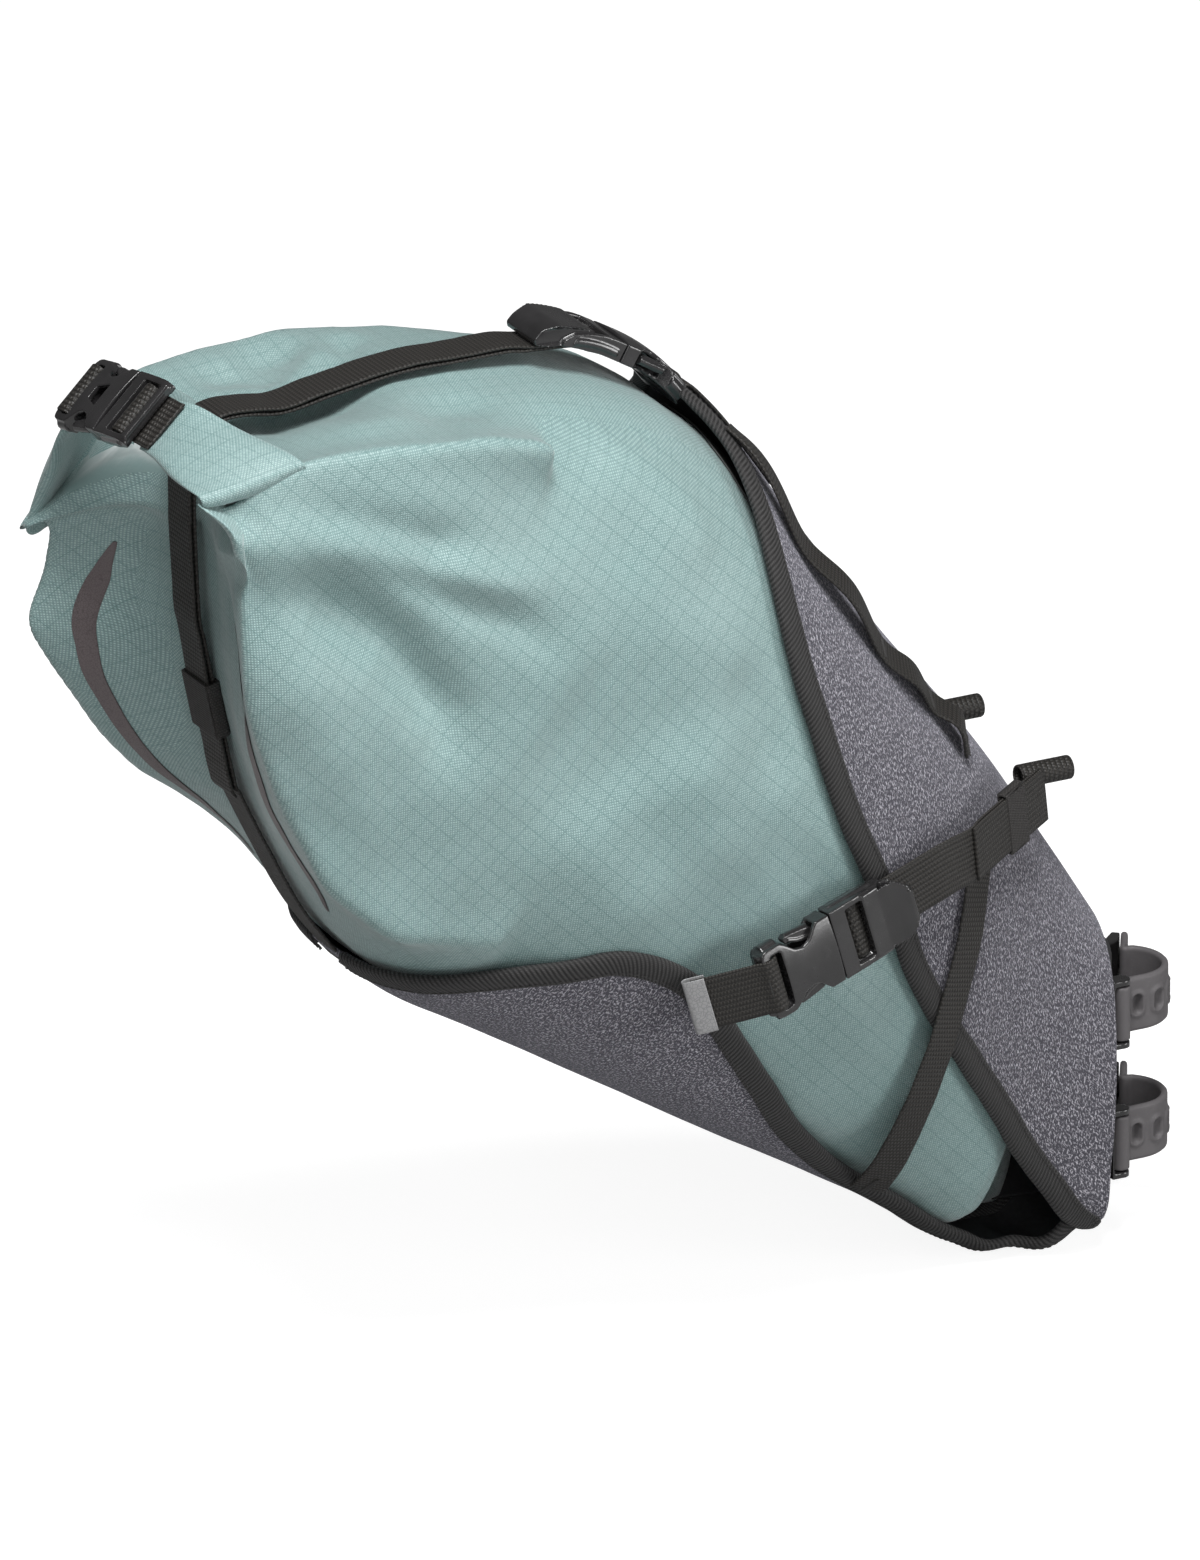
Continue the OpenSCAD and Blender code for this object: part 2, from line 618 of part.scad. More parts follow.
// Moulded fitting on the panel: lugs and pin for the strap's root, arm and stud for its hole.
module strap_mount(z) {
    plate_hz = strap_w / 2 + 3.4;
    block([plate_back, root_at[1] - 4, z - plate_hz], [plate_front, 25, z + plate_hz]);
    for (s = [-1, 1])
        translate([0, 0, z + s * (strap_w / 2 + 1.9)]) linear_extrude(3, center = true) union() {
            translate(root_at) circle(r = 4);
            translate([plate_back, root_at[1] - 4]) square([root_at[0] - plate_back, 8]);
        }
    translate([root_at[0], root_at[1], z - plate_hz]) cylinder(r = 2, h = 2 * plate_hz);
    // Arm on the far side of the post, with the stud square to the strap's tab.
    translate([0, 0, z - strap_w / 2]) linear_extrude(strap_w) polygon([[plate_back, 19.6],
        [3, 19.6], [9.2, 22.4], [14.4, 30], [11, 32.6], [3, 25],
        [plate_back, 25]]);
    translate([root_way(stud_at)[0], root_way(stud_at)[1], z]) rotate([0, 0, tab_angle])
        rotate([90, 0, 0]) translate([0, 0, -4]) cylinder(r = 2.6, h = 7.5);
}
module strap_mount_upper() { color(plastic_black) strap_mount(strap_pitch / 2); }
module strap_mount_lower() { color(plastic_black) strap_mount(-strap_pitch / 2); }

// --- bar tacks: raised rows of thread where webbing is sewn down ---

module tack(u, a, h, length) {
    place(skin(u, a, h), skin(u, a - 1) - skin(u, a + 1), skin_out(u, a))
        cube([length, 2, 0.8], center = true);
}
module bar_tacks() {
    tack_off = trim_off + 4.5;
    color(plastic_black) for (s = [-1, 1]) {
        for (q = DAISY)
            tack(q[0], 90 + s * (q[1] - 90), tack_off, 9);
        tack(2.1, 270 - s * 21, stabiliser_off + 1.6, 12);
    }
}

dry_bag();
roll_closure();
closure_strip();
reflector_right();
reflector_left();
upper_harness();
lower_harness();
upper_stiffener();
base_stiffener();
upper_binding_right();
upper_binding_left();
lower_binding_right();
lower_binding_left();
front_panel();
grip_pad();
daisy_right();
daisy_left();
side_strap_right();
side_strap_left();
rail_loop_right();
rail_loop_left();
stabiliser_right();
stabiliser_left();
side_tab_right();
side_tab_left();
side_label_right();
side_label_left();
side_female_right();
side_female_left();
side_male_right();
side_male_left();
side_arm_top_right();
side_arm_low_right();
side_arm_top_left();
side_arm_low_left();
side_turn_right();
side_turn_left();
keeper_right();
keeper_left();
tail_strap();
tail_free_end();
tail_keeper();
top_anchor();
top_female();
top_male();
top_arm_right();
top_arm_left();
top_turn();
roll_female();
roll_male();
roll_arm_front();
roll_arm_rear();
roll_web();
roll_tab();
strap_upper();
strap_lower();
strap_mount_upper();
strap_mount_lower();
bar_tacks();
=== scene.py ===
import math
import bmesh
import bpy
import numpy as np
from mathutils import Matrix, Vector, noise
from mathutils.bvhtree import BVHTree


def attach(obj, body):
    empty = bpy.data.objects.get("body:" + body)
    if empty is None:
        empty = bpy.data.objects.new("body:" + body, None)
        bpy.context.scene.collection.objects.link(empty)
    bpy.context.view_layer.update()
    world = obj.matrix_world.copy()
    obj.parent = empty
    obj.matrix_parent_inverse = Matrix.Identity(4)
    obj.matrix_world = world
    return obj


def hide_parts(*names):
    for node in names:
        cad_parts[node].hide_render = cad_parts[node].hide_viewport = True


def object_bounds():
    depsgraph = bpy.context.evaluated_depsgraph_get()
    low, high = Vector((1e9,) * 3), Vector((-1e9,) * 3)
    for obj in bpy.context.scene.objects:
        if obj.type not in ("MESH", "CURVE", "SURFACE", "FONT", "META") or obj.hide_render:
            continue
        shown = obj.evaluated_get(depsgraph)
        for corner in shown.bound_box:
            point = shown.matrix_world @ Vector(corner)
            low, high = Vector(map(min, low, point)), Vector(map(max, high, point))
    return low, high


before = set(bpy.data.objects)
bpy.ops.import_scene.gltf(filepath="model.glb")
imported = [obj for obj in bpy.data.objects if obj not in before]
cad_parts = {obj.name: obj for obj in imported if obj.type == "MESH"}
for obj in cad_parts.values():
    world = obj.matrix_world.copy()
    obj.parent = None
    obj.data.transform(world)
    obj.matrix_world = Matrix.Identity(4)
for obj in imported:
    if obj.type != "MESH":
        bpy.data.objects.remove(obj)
CAD_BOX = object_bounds()
MM = 0.001

# ---------------------------------------------------------------- the bag's shape, in millimetres
# Rows: low x and z, high x and z, half width, roundness of the corners.
SECTIONS = np.array([
    [-26, -66, -24, 73, 34, 0.75],
    [-88, -60, -50, 113, 44, 0.80],
    [-140, -28, -85, 165, 62, 0.85],
    [-200, 8, -130, 222, 80, 0.85],
    [-265, 48, -180, 290, 91, 0.85],
    [-325, 85, -230, 344, 95, 0.80],
    [-376, 118, -285, 371, 94, 0.75],
    [-408, 165, -340, 378, 91, 0.70],
    [-430, 215, -388, 376, 88, 0.68],
    [-443, 270, -424, 366, 87, 0.68],
    [-445, 330, -438, 344, 88, 0.75]], float)
# Harness edges: place along the bag and angle from the panel's middle.
UPPER_EDGE = [[0.02, 143], [0.14, 150], [0.36, 143], [0.69, 123], [1.1, 110], [1.5, 104.5],
              [2.1, 99], [2.7, 91], [3.2, 84], [3.6, 77], [4.0, 66], [4.25, 57], [4.45, 46],
              [4.62, 31], [4.76, 18], [4.92, 10], [4.99, 3]]
LOWER_EDGE = [[0.1, 41], [0.28, 35], [0.5, 22], [0.8, 16.5], [1.1, 18.5], [1.6, 23], [2.2, 26],
              [2.8, 36], [3.3, 48], [3.8, 58], [4.2, 63.5], [4.7, 62], [5.1, 54], [5.6, 43],
              [5.95, 30], [6.15, 17], [6.24, 3]]
BAG_ROWS, BAG_COLS = 230, 300
STABILISER = [[2.18, 144], [2.22, 155], [2.2, 175], [2.2, 190], [2.2, 211], [2.16, 228],
              [2.12, 243]]
DAISY = [[4.7, 104], [4.1, 119], [3.3, 122], [2.75, 119], [2.35, 122]]
# Distance from the middle and height.
REFLECTOR = [[53, 303], [58, 290], [61, 273], [58.5, 254], [58.5, 234], [56, 212], [53, 194],
             [46, 174], [36, 156]]
TAIL_UP = [[-372, 0, 105], [-386, 0, 119], [-402, 0, 146], [-418, 0, 176], [-432, 0, 205],
           [-435, 0, 213], [-449, 0, 279], [-451, 0, 289], [-453, 0, 330], [-453, 0, 352]]
TAIL_TOP = [[-452, 0, 364], [-447, 0, 372], [-439, 0, 376], [-427, 0, 376], [-410, 0, 374],
            [-385, 0, 378], [-355, 0, 382], [-328, 0, 382], [-305, 0, 382]]
HARNESS_IN, HARNESS_OUT, TRIM_OFF, STABILISER_OFF = 2.8, 5.0, 6.2, 7.9
SIDE_AT, SIDE_PULL, SIDE_OUT = (-197, -100, 124), (0.95, 0.14, 0.275), (0.14, -0.99, 0.05)
TOP_AT, TOP_PULL, TOP_OUT = (-252, 0, 374), (-0.863, 0, 0.505), (0.505, 0, 0.863)
ROLL_AT, ROLL_PULL, ROLL_OUT = (-480, 4, 385), (0, -0.982, 0.187), (-0.64, 0, 0.77)
SIDE_END = [[-118, -80, 143], [-108, -73, 144.5], [-68, -49, 150.5]]
KEEPER_AT = (-88, -61, 147.5)
LOOP_AT = (-62, -40, 156)
POST_R, STRAP_T = 15.8, 3.0
RAIL_OUT = (0.5, -0.86, 0.03)
MALE_DROOP, FEMALE_DROOP = 0.0095, 0.0085
SIDES = (("right", False), ("left", True))


def unit(v):
    v = np.asarray(v, float)
    return v / np.maximum(np.linalg.norm(v, axis=-1, keepdims=True), 1e-9)


def along(rows, u):
    """Smooth curve through the rows at the real index u."""
    rows = np.asarray(rows, float)
    n = len(rows) - 1
    v = np.clip(np.asarray(u, float), 0, n)
    i = np.minimum(v.astype(int), n - 1)
    f = (v - i)[..., None]
    a, b, c, d = rows[np.maximum(i - 1, 0)], rows[i], rows[i + 1], rows[np.minimum(i + 2, n)]
    return b + 0.5 * f * (c - a + f * (2 * a - 5 * b + 4 * c - d + f * (3 * (b - c) + d - a)))


def power(x, n):
    return np.sign(x) * np.abs(x) ** n


def skin(u, a, h=0.0):
    """A point of the bag: place u along it, angle a from the left side over the top, height h."""
    u, a, h = np.broadcast_arrays(np.asarray(u, float), np.asarray(a, float), np.asarray(h, float))
    r = along(SECTIONS, u)
    mid, up = (r[..., 0:2] + r[..., 2:4]) / 2, (r[..., 2:4] - r[..., 0:2]) / 2
    tall = np.linalg.norm(up, axis=-1)
    ca, sa = np.cos(np.radians(a)), np.sin(np.radians(a))
    ny, nz = power(ca, 2 - r[..., 5]) / r[..., 4], power(sa, 2 - r[..., 5]) / tall
    m = np.hypot(ny, nz)
    y = r[..., 4] * power(ca, r[..., 5]) + h * ny / m
    k = tall * power(sa, r[..., 5]) + h * nz / m
    return np.stack([mid[..., 0] + up[..., 0] / tall * k, y,
                     mid[..., 1] + up[..., 1] / tall * k], -1)


def skin_out(u, a):
    u = np.asarray(u, float)
    return unit(np.cross(skin(u, a + 2.0) - skin(u, a - 2.0), skin(u - 0.05, a) - skin(u + 0.05, a)))


def smooth(x, lo=0.0, hi=1.0):
    t = np.clip((x - lo) / (hi - lo), 0, 1)
    return t * t * (3 - 2 * t)


def noise_at(points, scale, seed=0.0, octaves=2):
    off = Vector((seed * 13.7, seed * 7.1, seed * 3.3))
    return np.array([noise.fractal(Vector(p) * scale + off, 1.0, 2.0, octaves) for p in points])


def lengths(p):
    """Distance along the points to each of them."""
    return np.concatenate([[0], np.cumsum(np.linalg.norm(np.diff(p, axis=0), axis=1))])


def widths_across(g):
    """Distance along each row of a grid to each of its points."""
    steps = np.linalg.norm(np.diff(g, axis=1), axis=2)
    return np.concatenate([np.zeros((len(g), 1)), np.cumsum(steps, axis=1)], axis=1)


def sampled(t, s, p):
    """The points p, which lie at the distances s, read at the distances t."""
    p = np.asarray(p)
    return np.stack([np.interp(t, s, p[:, k]) for k in range(3)], -1)


def spaced(points, step):
    """The points again at an even spacing, on a smooth curve through them."""
    p = np.asarray(points, float)
    fine = along(p, np.linspace(0, len(p) - 1, (len(p) - 1) * 24 + 1))
    s = lengths(fine)
    t = np.linspace(0, s[-1], max(int(round(s[-1] / step)), 3) + 1)
    return sampled(t, s, fine)


def axes(at, x, z):
    """The matrix, in millimetres, of a buckle's own axes."""
    a = unit(x)
    b = unit(np.cross(z, a))
    c = np.cross(a, b)
    m = np.eye(4)
    m[:3, 0], m[:3, 1], m[:3, 2], m[:3, 3] = a, b, c, at
    return m


def moved(m, p):
    p = np.asarray(p, float)
    return p @ m[:3, :3].T + m[:3, 3]


def mirrored(p):
    return np.asarray(p, float) * np.array([1, -1, 1])


def as_is(p):
    return np.asarray(p, float)


# ---------------------------------------------------------------- materials
def material(name):
    m = bpy.data.materials.new(name)
    m.use_nodes = True
    t = m.node_tree
    t.nodes.clear()
    out = t.nodes.new("ShaderNodeOutputMaterial")
    shader = t.nodes.new("ShaderNodeBsdfPrincipled")
    t.links.new(shader.outputs[0], out.inputs[0])
    return m, t, shader


def node(t, kind, **values):
    n = t.nodes.new(kind)
    for k, v in values.items():
        if k.startswith("in_"):
            key = k[3:]
            n.inputs[int(key) if key.isdigit() else key.replace("_", " ")].default_value = v
        else:
            setattr(n, k, v)
    return n


def setup(shader, **values):
    """Plain values on the shader's sockets."""
    for k, v in values.items():
        shader.inputs[k.replace("_", " ")].default_value = v


def maths(t, op, a, b=None, c=None, clamp=False):
    n = t.nodes.new("ShaderNodeMath")
    n.operation, n.use_clamp = op, clamp
    for i, v in enumerate((a, b, c)):
        if v is None:
            continue
        if isinstance(v, (int, float)):
            n.inputs[i].default_value = v
        else:
            t.links.new(v, n.inputs[i])
    return n.outputs[0]


def mixed(t, fac, a, b):
    n = node(t, "ShaderNodeMix", data_type="RGBA")
    for i, v in ((0, fac), (6, a), (7, b)):
        if isinstance(v, (int, float)):
            n.inputs[i].default_value = v
        elif isinstance(v, tuple):
            n.inputs[i].default_value = (*v, 1)
        else:
            t.links.new(v, n.inputs[i])
    return n.outputs[2]


def plane_coords(t):
    """The cloth's own flat coordinates, in metres."""
    uv = node(t, "ShaderNodeUVMap", uv_map="flat")
    sep = node(t, "ShaderNodeSeparateXYZ")
    t.links.new(uv.outputs[0], sep.inputs[0])
    return uv.outputs[0], sep.outputs[0], sep.outputs[1]


def wave(t, x, pitch, phase=0.0):
    """0 to 1 and back once in every pitch."""
    s = maths(t, "SINE", maths(t, "MULTIPLY_ADD", x, 2 * math.pi / pitch, phase))
    return maths(t, "MULTIPLY_ADD", s, 0.5, 0.5)


def line(t, x, pitch, share):
    """1 on a thin line in every pitch."""
    f = maths(t, "FRACT", maths(t, "MULTIPLY", x, 1 / pitch))
    d = maths(t, "ABSOLUTE", maths(t, "SUBTRACT", f, 0.5))
    return maths(t, "LESS_THAN", d, share / 2)


def noisy(t, vector, scale, detail=2.0, rough=0.5, stretch=None):
    if stretch:
        m = node(t, "ShaderNodeMapping")
        m.inputs["Scale"].default_value = stretch
        t.links.new(vector, m.inputs[0])
        vector = m.outputs[0]
    n = node(t, "ShaderNodeTexNoise", in_Scale=scale, in_Detail=detail, in_Roughness=rough)
    t.links.new(vector, n.inputs["Vector"])
    return n.outputs["Fac"]


def ramp(t, fac, lo, hi):
    n = node(t, "ShaderNodeMapRange", in_1=lo, in_2=hi)
    t.links.new(fac, n.inputs[0])
    return n.outputs[0]


def bump(t, shader, height, distance, strength=1.0, under=None):
    b = node(t, "ShaderNodeBump", in_Strength=strength, in_Distance=distance)
    t.links.new(height, b.inputs["Height"])
    if under is not None:
        t.links.new(under, b.inputs["Normal"])
    t.links.new(b.outputs[0], shader.inputs["Normal"])
    return b.outputs[0]


def object_coords(t):
    return node(t, "ShaderNodeTexCoord").outputs["Object"]


def make_ripstop():
    m, t, s = material("ripstop_fabric")
    uv, x, y = plane_coords(t)
    obj = object_coords(t)
    grid = maths(t, "MAXIMUM", line(t, x, 0.0080, 0.06), line(t, y, 0.0080, 0.06))
    weave = maths(t, "MULTIPLY", wave(t, maths(t, "ADD", x, y), 0.0015),
                  wave(t, maths(t, "SUBTRACT", x, y), 0.0015))
    tone = ramp(t, noisy(t, obj, 9.0, 3.0), 0.3, 0.7)
    fibre = ramp(t, noisy(t, uv, 700.0, 2.0), 0.3, 0.7)
    base = mixed(t, tone, (0.178, 0.276, 0.275), (0.234, 0.334, 0.331))
    # The weave is real in the bump; its crossings are also painted pale, a painted sparkle of highlight on
    # the threads.
    base = mixed(t, maths(t, "MULTIPLY", weave, 0.8), base, (0.52, 0.70, 0.68))
    base = mixed(t, maths(t, "MULTIPLY", fibre, 0.42), base, (0.10, 0.19, 0.185))
    base = mixed(t, maths(t, "MULTIPLY", grid, 0.42), base, (0.10, 0.20, 0.195))
    t.links.new(base, s.inputs["Base Color"])
    rough = maths(t, "MULTIPLY_ADD", fibre, 0.12, 0.34)
    t.links.new(rough, s.inputs["Roughness"])
    setup(s, Specular_IOR_Level=0.42, Sheen_Weight=0.32, Sheen_Roughness=0.4, Sheen_Tint=(1, 1, 1, 1))
    height = maths(t, "ADD", maths(t, "MULTIPLY", weave, 0.8), maths(t, "MULTIPLY", grid, 0.9))
    crumple = bump(t, s, noisy(t, obj, 40.0, 5.0, 0.6), 0.0026, 0.30)
    bump(t, s, height, 0.00032, 0.55, crumple)
    return m


def make_melange():
    m, t, s = material("melange_fabric")
    uv = plane_coords(t)[0]
    dash = noisy(t, uv, 1000.0, 1.5, 0.6, (0.62, 1.35, 1.0))
    dash2 = noisy(t, uv, 1000.0, 1.5, 0.6, (1.2, 0.55, 1.0))
    light = maths(t, "MAXIMUM", ramp(t, dash, 0.54, 0.66), ramp(t, dash2, 0.56, 0.70), clamp=True)
    dark = ramp(t, noisy(t, uv, 620.0, 1.0), 0.52, 0.66)
    soft = ramp(t, noisy(t, uv, 60.0, 2.0), 0.3, 0.7)
    base = mixed(t, soft, (0.036, 0.034, 0.044), (0.048, 0.046, 0.057))
    base = mixed(t, maths(t, "MULTIPLY", light, 0.8), base, (0.62, 0.60, 0.66))
    base = mixed(t, maths(t, "MULTIPLY", dark, 0.55), base, (0.026, 0.026, 0.036))
    t.links.new(base, s.inputs["Base Color"])
    setup(s, Roughness=0.82, Specular_IOR_Level=0.25, Sheen_Weight=0.25, Sheen_Roughness=0.6,
          Sheen_Tint=(0.8, 0.8, 0.9, 1))
    height = maths(t, "ADD", light, maths(t, "MULTIPLY", noisy(t, uv, 900.0, 2.0), 0.6))
    bump(t, s, height, 0.00028, 0.6)
    return m


def make_webbing(name, rib=0.0023, tint=(0.0065, 0.0058, 0.005), gloss=0.5, cross=0.0015, across=False):
    """Woven strap: ribs along it, and a pebbled weave where the threads cross, its pebbles painted lighter
    as a painted highlight.
    """
    m, t, s = material(name)
    uv, x, y = plane_coords(t)
    if across:
        x, y = y, x
    ribs = wave(t, x, rib)
    half = maths(t, "GREATER_THAN", maths(t, "FRACT", maths(t, "MULTIPLY", x, 0.5 / rib)), 0.5)
    picks = wave(t, maths(t, "MULTIPLY_ADD", half, cross / 2, y), cross)
    pebble = maths(t, "MULTIPLY", maths(t, "POWER", ribs, 0.6), maths(t, "MULTIPLY_ADD", picks, 0.7, 0.3))
    fuzz = ramp(t, noisy(t, uv, 900.0, 2.0), 0.35, 0.7)
    # Painted highlight: the pebbles' tops are painted lighter than the grooves, over their real woven
    # relief.
    light = tuple(min(c * 6.5, 1) for c in tint)
    base = mixed(t, maths(t, "MULTIPLY", pebble, 0.75), tint, light)
    base = mixed(t, maths(t, "MULTIPLY", fuzz, 0.35), base, tuple(c * 1.6 for c in tint))
    t.links.new(base, s.inputs["Base Color"])
    setup(s, Roughness=gloss, Specular_IOR_Level=0.42, Sheen_Weight=0.03, Sheen_Roughness=0.5)
    bump(t, s, pebble, 0.00045, 0.9)
    return m


def make_twill(name, tint=(0.013, 0.0125, 0.0125), pitch=0.0022):
    """Binding tape with fine slanting ribs, the ribs painted lighter than the grooves as a painted
    highlight.
    """
    m, t, s = material(name)
    _, x, y = plane_coords(t)
    turn = maths(t, "ADD", maths(t, "MULTIPLY", x, 0.55), y)
    ribs = wave(t, turn, pitch)
    picks = wave(t, x, 0.0008)
    cloth = maths(t, "MULTIPLY", ribs, maths(t, "MULTIPLY_ADD", picks, 0.45, 0.55))
    # Painted highlight: the slanting ribs are painted up to four times the tape's colour, the grooves
    # darker as painted shade.
    base = mixed(t, cloth, tuple(c * 0.5 for c in tint), tuple(c * 4.2 for c in tint))
    t.links.new(base, s.inputs["Base Color"])
    setup(s, Roughness=0.62, Specular_IOR_Level=0.35, Sheen_Weight=0.06, Sheen_Roughness=0.5)
    bump(t, s, cloth, 0.00045, 0.9)
    return m


def make_plastic():
    m, t, s = material("moulded_plastic")
    obj = object_coords(t)
    grain = noisy(t, obj, 1500.0, 3.0)
    broad = noisy(t, obj, 70.0, 3.0)
    base = mixed(t, ramp(t, broad, 0.35, 0.7), (0.014, 0.0135, 0.014), (0.023, 0.022, 0.023))
    t.links.new(base, s.inputs["Base Color"])
    scuff = ramp(t, noisy(t, obj, 160.0, 4.0, 0.7), 0.5, 0.75)
    t.links.new(maths(t, "MULTIPLY_ADD", scuff, 0.12, 0.20), s.inputs["Roughness"])
    setup(s, Specular_IOR_Level=0.5, Coat_Weight=0.6, Coat_Roughness=0.18)
    bump(t, s, grain, 0.00008, 0.35)
    return m


def make_rubber():
    m, t, s = material("strap_rubber")
    obj = object_coords(t)
    base = mixed(t, ramp(t, noisy(t, obj, 40.0, 3.0), 0.3, 0.7), (0.098, 0.092, 0.096),
                 (0.125, 0.118, 0.122))
    dust = ramp(t, noisy(t, obj, 420.0, 3.0, 0.7), 0.55, 0.8)
    base = mixed(t, maths(t, "MULTIPLY", dust, 0.25), base, (0.19, 0.18, 0.18))
    t.links.new(base, s.inputs["Base Color"])
    t.links.new(maths(t, "MULTIPLY_ADD", dust, 0.12, 0.55), s.inputs["Roughness"])
    setup(s, Specular_IOR_Level=0.35)
    bump(t, s, noisy(t, obj, 1100.0, 2.0), 0.00007, 0.4)
    return m


def make_flat(name, dark, light, rough, scale, metal=0.0, height=0.0001, spec=0.5):
    m, t, s = material(name)
    obj = object_coords(t)
    n = noisy(t, obj, scale, 3.0)
    t.links.new(mixed(t, ramp(t, n, 0.3, 0.7), dark, light), s.inputs["Base Color"])
    setup(s, Metallic=metal, Roughness=rough, Specular_IOR_Level=spec)
    bump(t, s, n, height, 0.5)
    return m


def make_reflective(name, dark, light, cell=0.0011):
    """Glass-bead film: a fine honeycomb of cells under a satin face."""
    m, t, s = material(name)
    uv = plane_coords(t)[0]
    cells = node(t, "ShaderNodeTexVoronoi", in_Scale=1 / cell, feature="DISTANCE_TO_EDGE")
    t.links.new(uv, cells.inputs["Vector"])
    edge = ramp(t, cells.outputs["Distance"], 0.02, 0.12)
    t.links.new(mixed(t, edge, dark, light), s.inputs["Base Color"])
    setup(s, Metallic=0.25, Roughness=0.38)
    bump(t, s, edge, 0.00006, 0.4)
    return m


RIPSTOP = make_ripstop()
MELANGE = make_melange()
WEBBING = make_webbing("ribbed_webbing")
NARROW = make_webbing("plain_webbing", rib=0.0021, cross=0.0016, gloss=0.55, across=True)
ELASTIC = make_webbing("woven_elastic", rib=0.0012, tint=(0.011, 0.010, 0.0095), cross=0.0012,
                       gloss=0.65)
TWILL = make_twill("twill_tape")
PLASTIC = make_plastic()
RUBBER = make_rubber()
LINING = make_flat("harness_lining", (0.010, 0.010, 0.011), (0.02, 0.02, 0.022), 0.75, 500.0)
SHEETING = make_flat("stiff_sheet", (0.016, 0.016, 0.016), (0.028, 0.028, 0.028), 0.55, 90.0)
THREAD = make_flat("thread", (0.022, 0.021, 0.021), (0.05, 0.048, 0.047), 0.6, 2500.0)
PRINT = make_reflective("reflective_print", (0.105, 0.088, 0.09), (0.15, 0.125, 0.128))
LABEL = make_reflective("reflective_label", (0.24, 0.24, 0.245), (0.33, 0.33, 0.335), 0.0016)


# ---------------------------------------------------------------- mesh helpers
def mesh_object(name, verts_mm, faces, mats, uvs=None, body="bag", replaces=(),
                face_mat=None, flat=False):
    me = bpy.data.meshes.new(name)
    me.from_pydata((np.asarray(verts_mm, float) * MM).tolist(), [], faces)
    for m in mats if isinstance(mats, (list, tuple)) else [mats]:
        me.materials.append(m)
    if uvs is not None:
        layer = me.uv_layers.new(name="flat")
        layer.data.foreach_set("uv", (np.asarray(uvs, float) * MM).astype(np.float32).ravel())
    if face_mat is not None:
        me.polygons.foreach_set("material_index", np.asarray(face_mat, np.int32))
    me.validate()
    me.polygons.foreach_set("use_smooth", [not flat] * len(me.polygons))
    me.update()
    ob = in_scene(name, me)
    return finish_piece(ob, body, replaces)


def in_scene(name, data):
    ob = bpy.data.objects.new(name, data)
    bpy.context.scene.collection.objects.link(ob)
    return ob


def finish_piece(ob, body, replaces=()):
    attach(ob, body)
    if replaces:
        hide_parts(*([replaces] if isinstance(replaces, str) else replaces))
    return ob


def tube_mesh(rings, uv_rings, caps=True, closed=False):
    """Vertices, faces and loop UVs of a tube through rings of points (r, c, 3)."""
    r, c = rings.shape[:2]
    verts = rings.reshape(-1, 3)
    faces, uvs = [], []
    for i in range(r if closed else r - 1):
        k = (i + 1) % r
        for j in range(c):
            m = (j + 1) % c
            faces.append((i * c + j, i * c + m, k * c + m, k * c + j))
            uvs += [uv_rings[i, j], uv_rings[i, j + 1], uv_rings[i + 1, j + 1], uv_rings[i + 1, j]]
    if caps and not closed:
        faces.append(tuple(range(c))[::-1])
        uvs += [uv_rings[0, j] for j in range(c)][::-1]
        faces.append(tuple((r - 1) * c + j for j in range(c)))
        uvs += [uv_rings[r - 1, j] for j in range(c)]
    return verts, faces, uvs


def band_section(width, thick, cols=14, lift=0.0):
    """Half-round edged flat section: (across, up) points, going round."""
    w, h = width / 2, thick / 2
    edge = min(h, w) * 0.9
    top = [(x, h + lift * (1 - (x / w) ** 2)) for x in np.linspace(-w + edge, w - edge, cols)]
    turn = [(w - edge + edge * math.sin(b), h * math.cos(b)) for b in np.radians([45, 90, 135])]
    low = [(x, -h + lift * (1 - (x / w) ** 2)) for x in np.linspace(w - edge, -w + edge, cols)]
    back = [(-w + edge - edge * math.sin(b), -h * math.cos(b)) for b in np.radians([45, 90, 135])]
    return np.array(top + turn + low + back)


def band(name, points, outs, width, thick, mat, step=1.6, body="bag", slot="webbing",
         replaces=(), cols=14, lift=0.0, widths=None, wobble=0.0, seed=1.0, closed=False):
    """A strap along the points with the given outward sides."""
    p = np.asarray(points, float)
    n = np.asarray(outs, float)
    if closed:
        p, n = np.vstack([p, p[:1]]), np.vstack([n, n[:1]])
    full = spaced(p, step)
    s_old = lengths(p)
    s_new = lengths(full)
    t = s_new / s_new[-1] * s_old[-1]
    outs = unit(sampled(t, s_old, n))
    tang = unit(np.gradient(full, axis=0))
    side = unit(np.cross(tang, outs))
    up = np.cross(side, tang)
    if wobble:
        full = full + up * (noise_at(full, 0.06, seed) * wobble)[:, None]
    sec = band_section(width, thick, cols, lift)
    k = np.ones(len(full)) if widths is None else np.interp(s_new / s_new[-1], *widths)
    rings = full[:, None] + side[:, None] * (sec[None, :, 0:1] * k[:, None, None]) \
        + up[:, None] * sec[None, :, 1:2]
    around = np.concatenate([sec[:, 0], sec[:1, 0]])
    uv = np.stack([np.broadcast_to(around + 50, (len(full), len(around))),
                   np.broadcast_to(s_new[:, None], (len(full), len(around)))], -1)
    if closed:
        rings = rings[:-1]
    verts, faces, uvs = tube_mesh(rings, uv, closed=closed)
    return mesh_object(name, verts, faces, mat, uvs, body, replaces)


def plane_outs(points):
    """Outward sides of a route that lies in one plane across Y."""
    p = np.asarray(points, float)
    return np.cross(unit(np.gradient(p, axis=0)), [0, 1, 0])


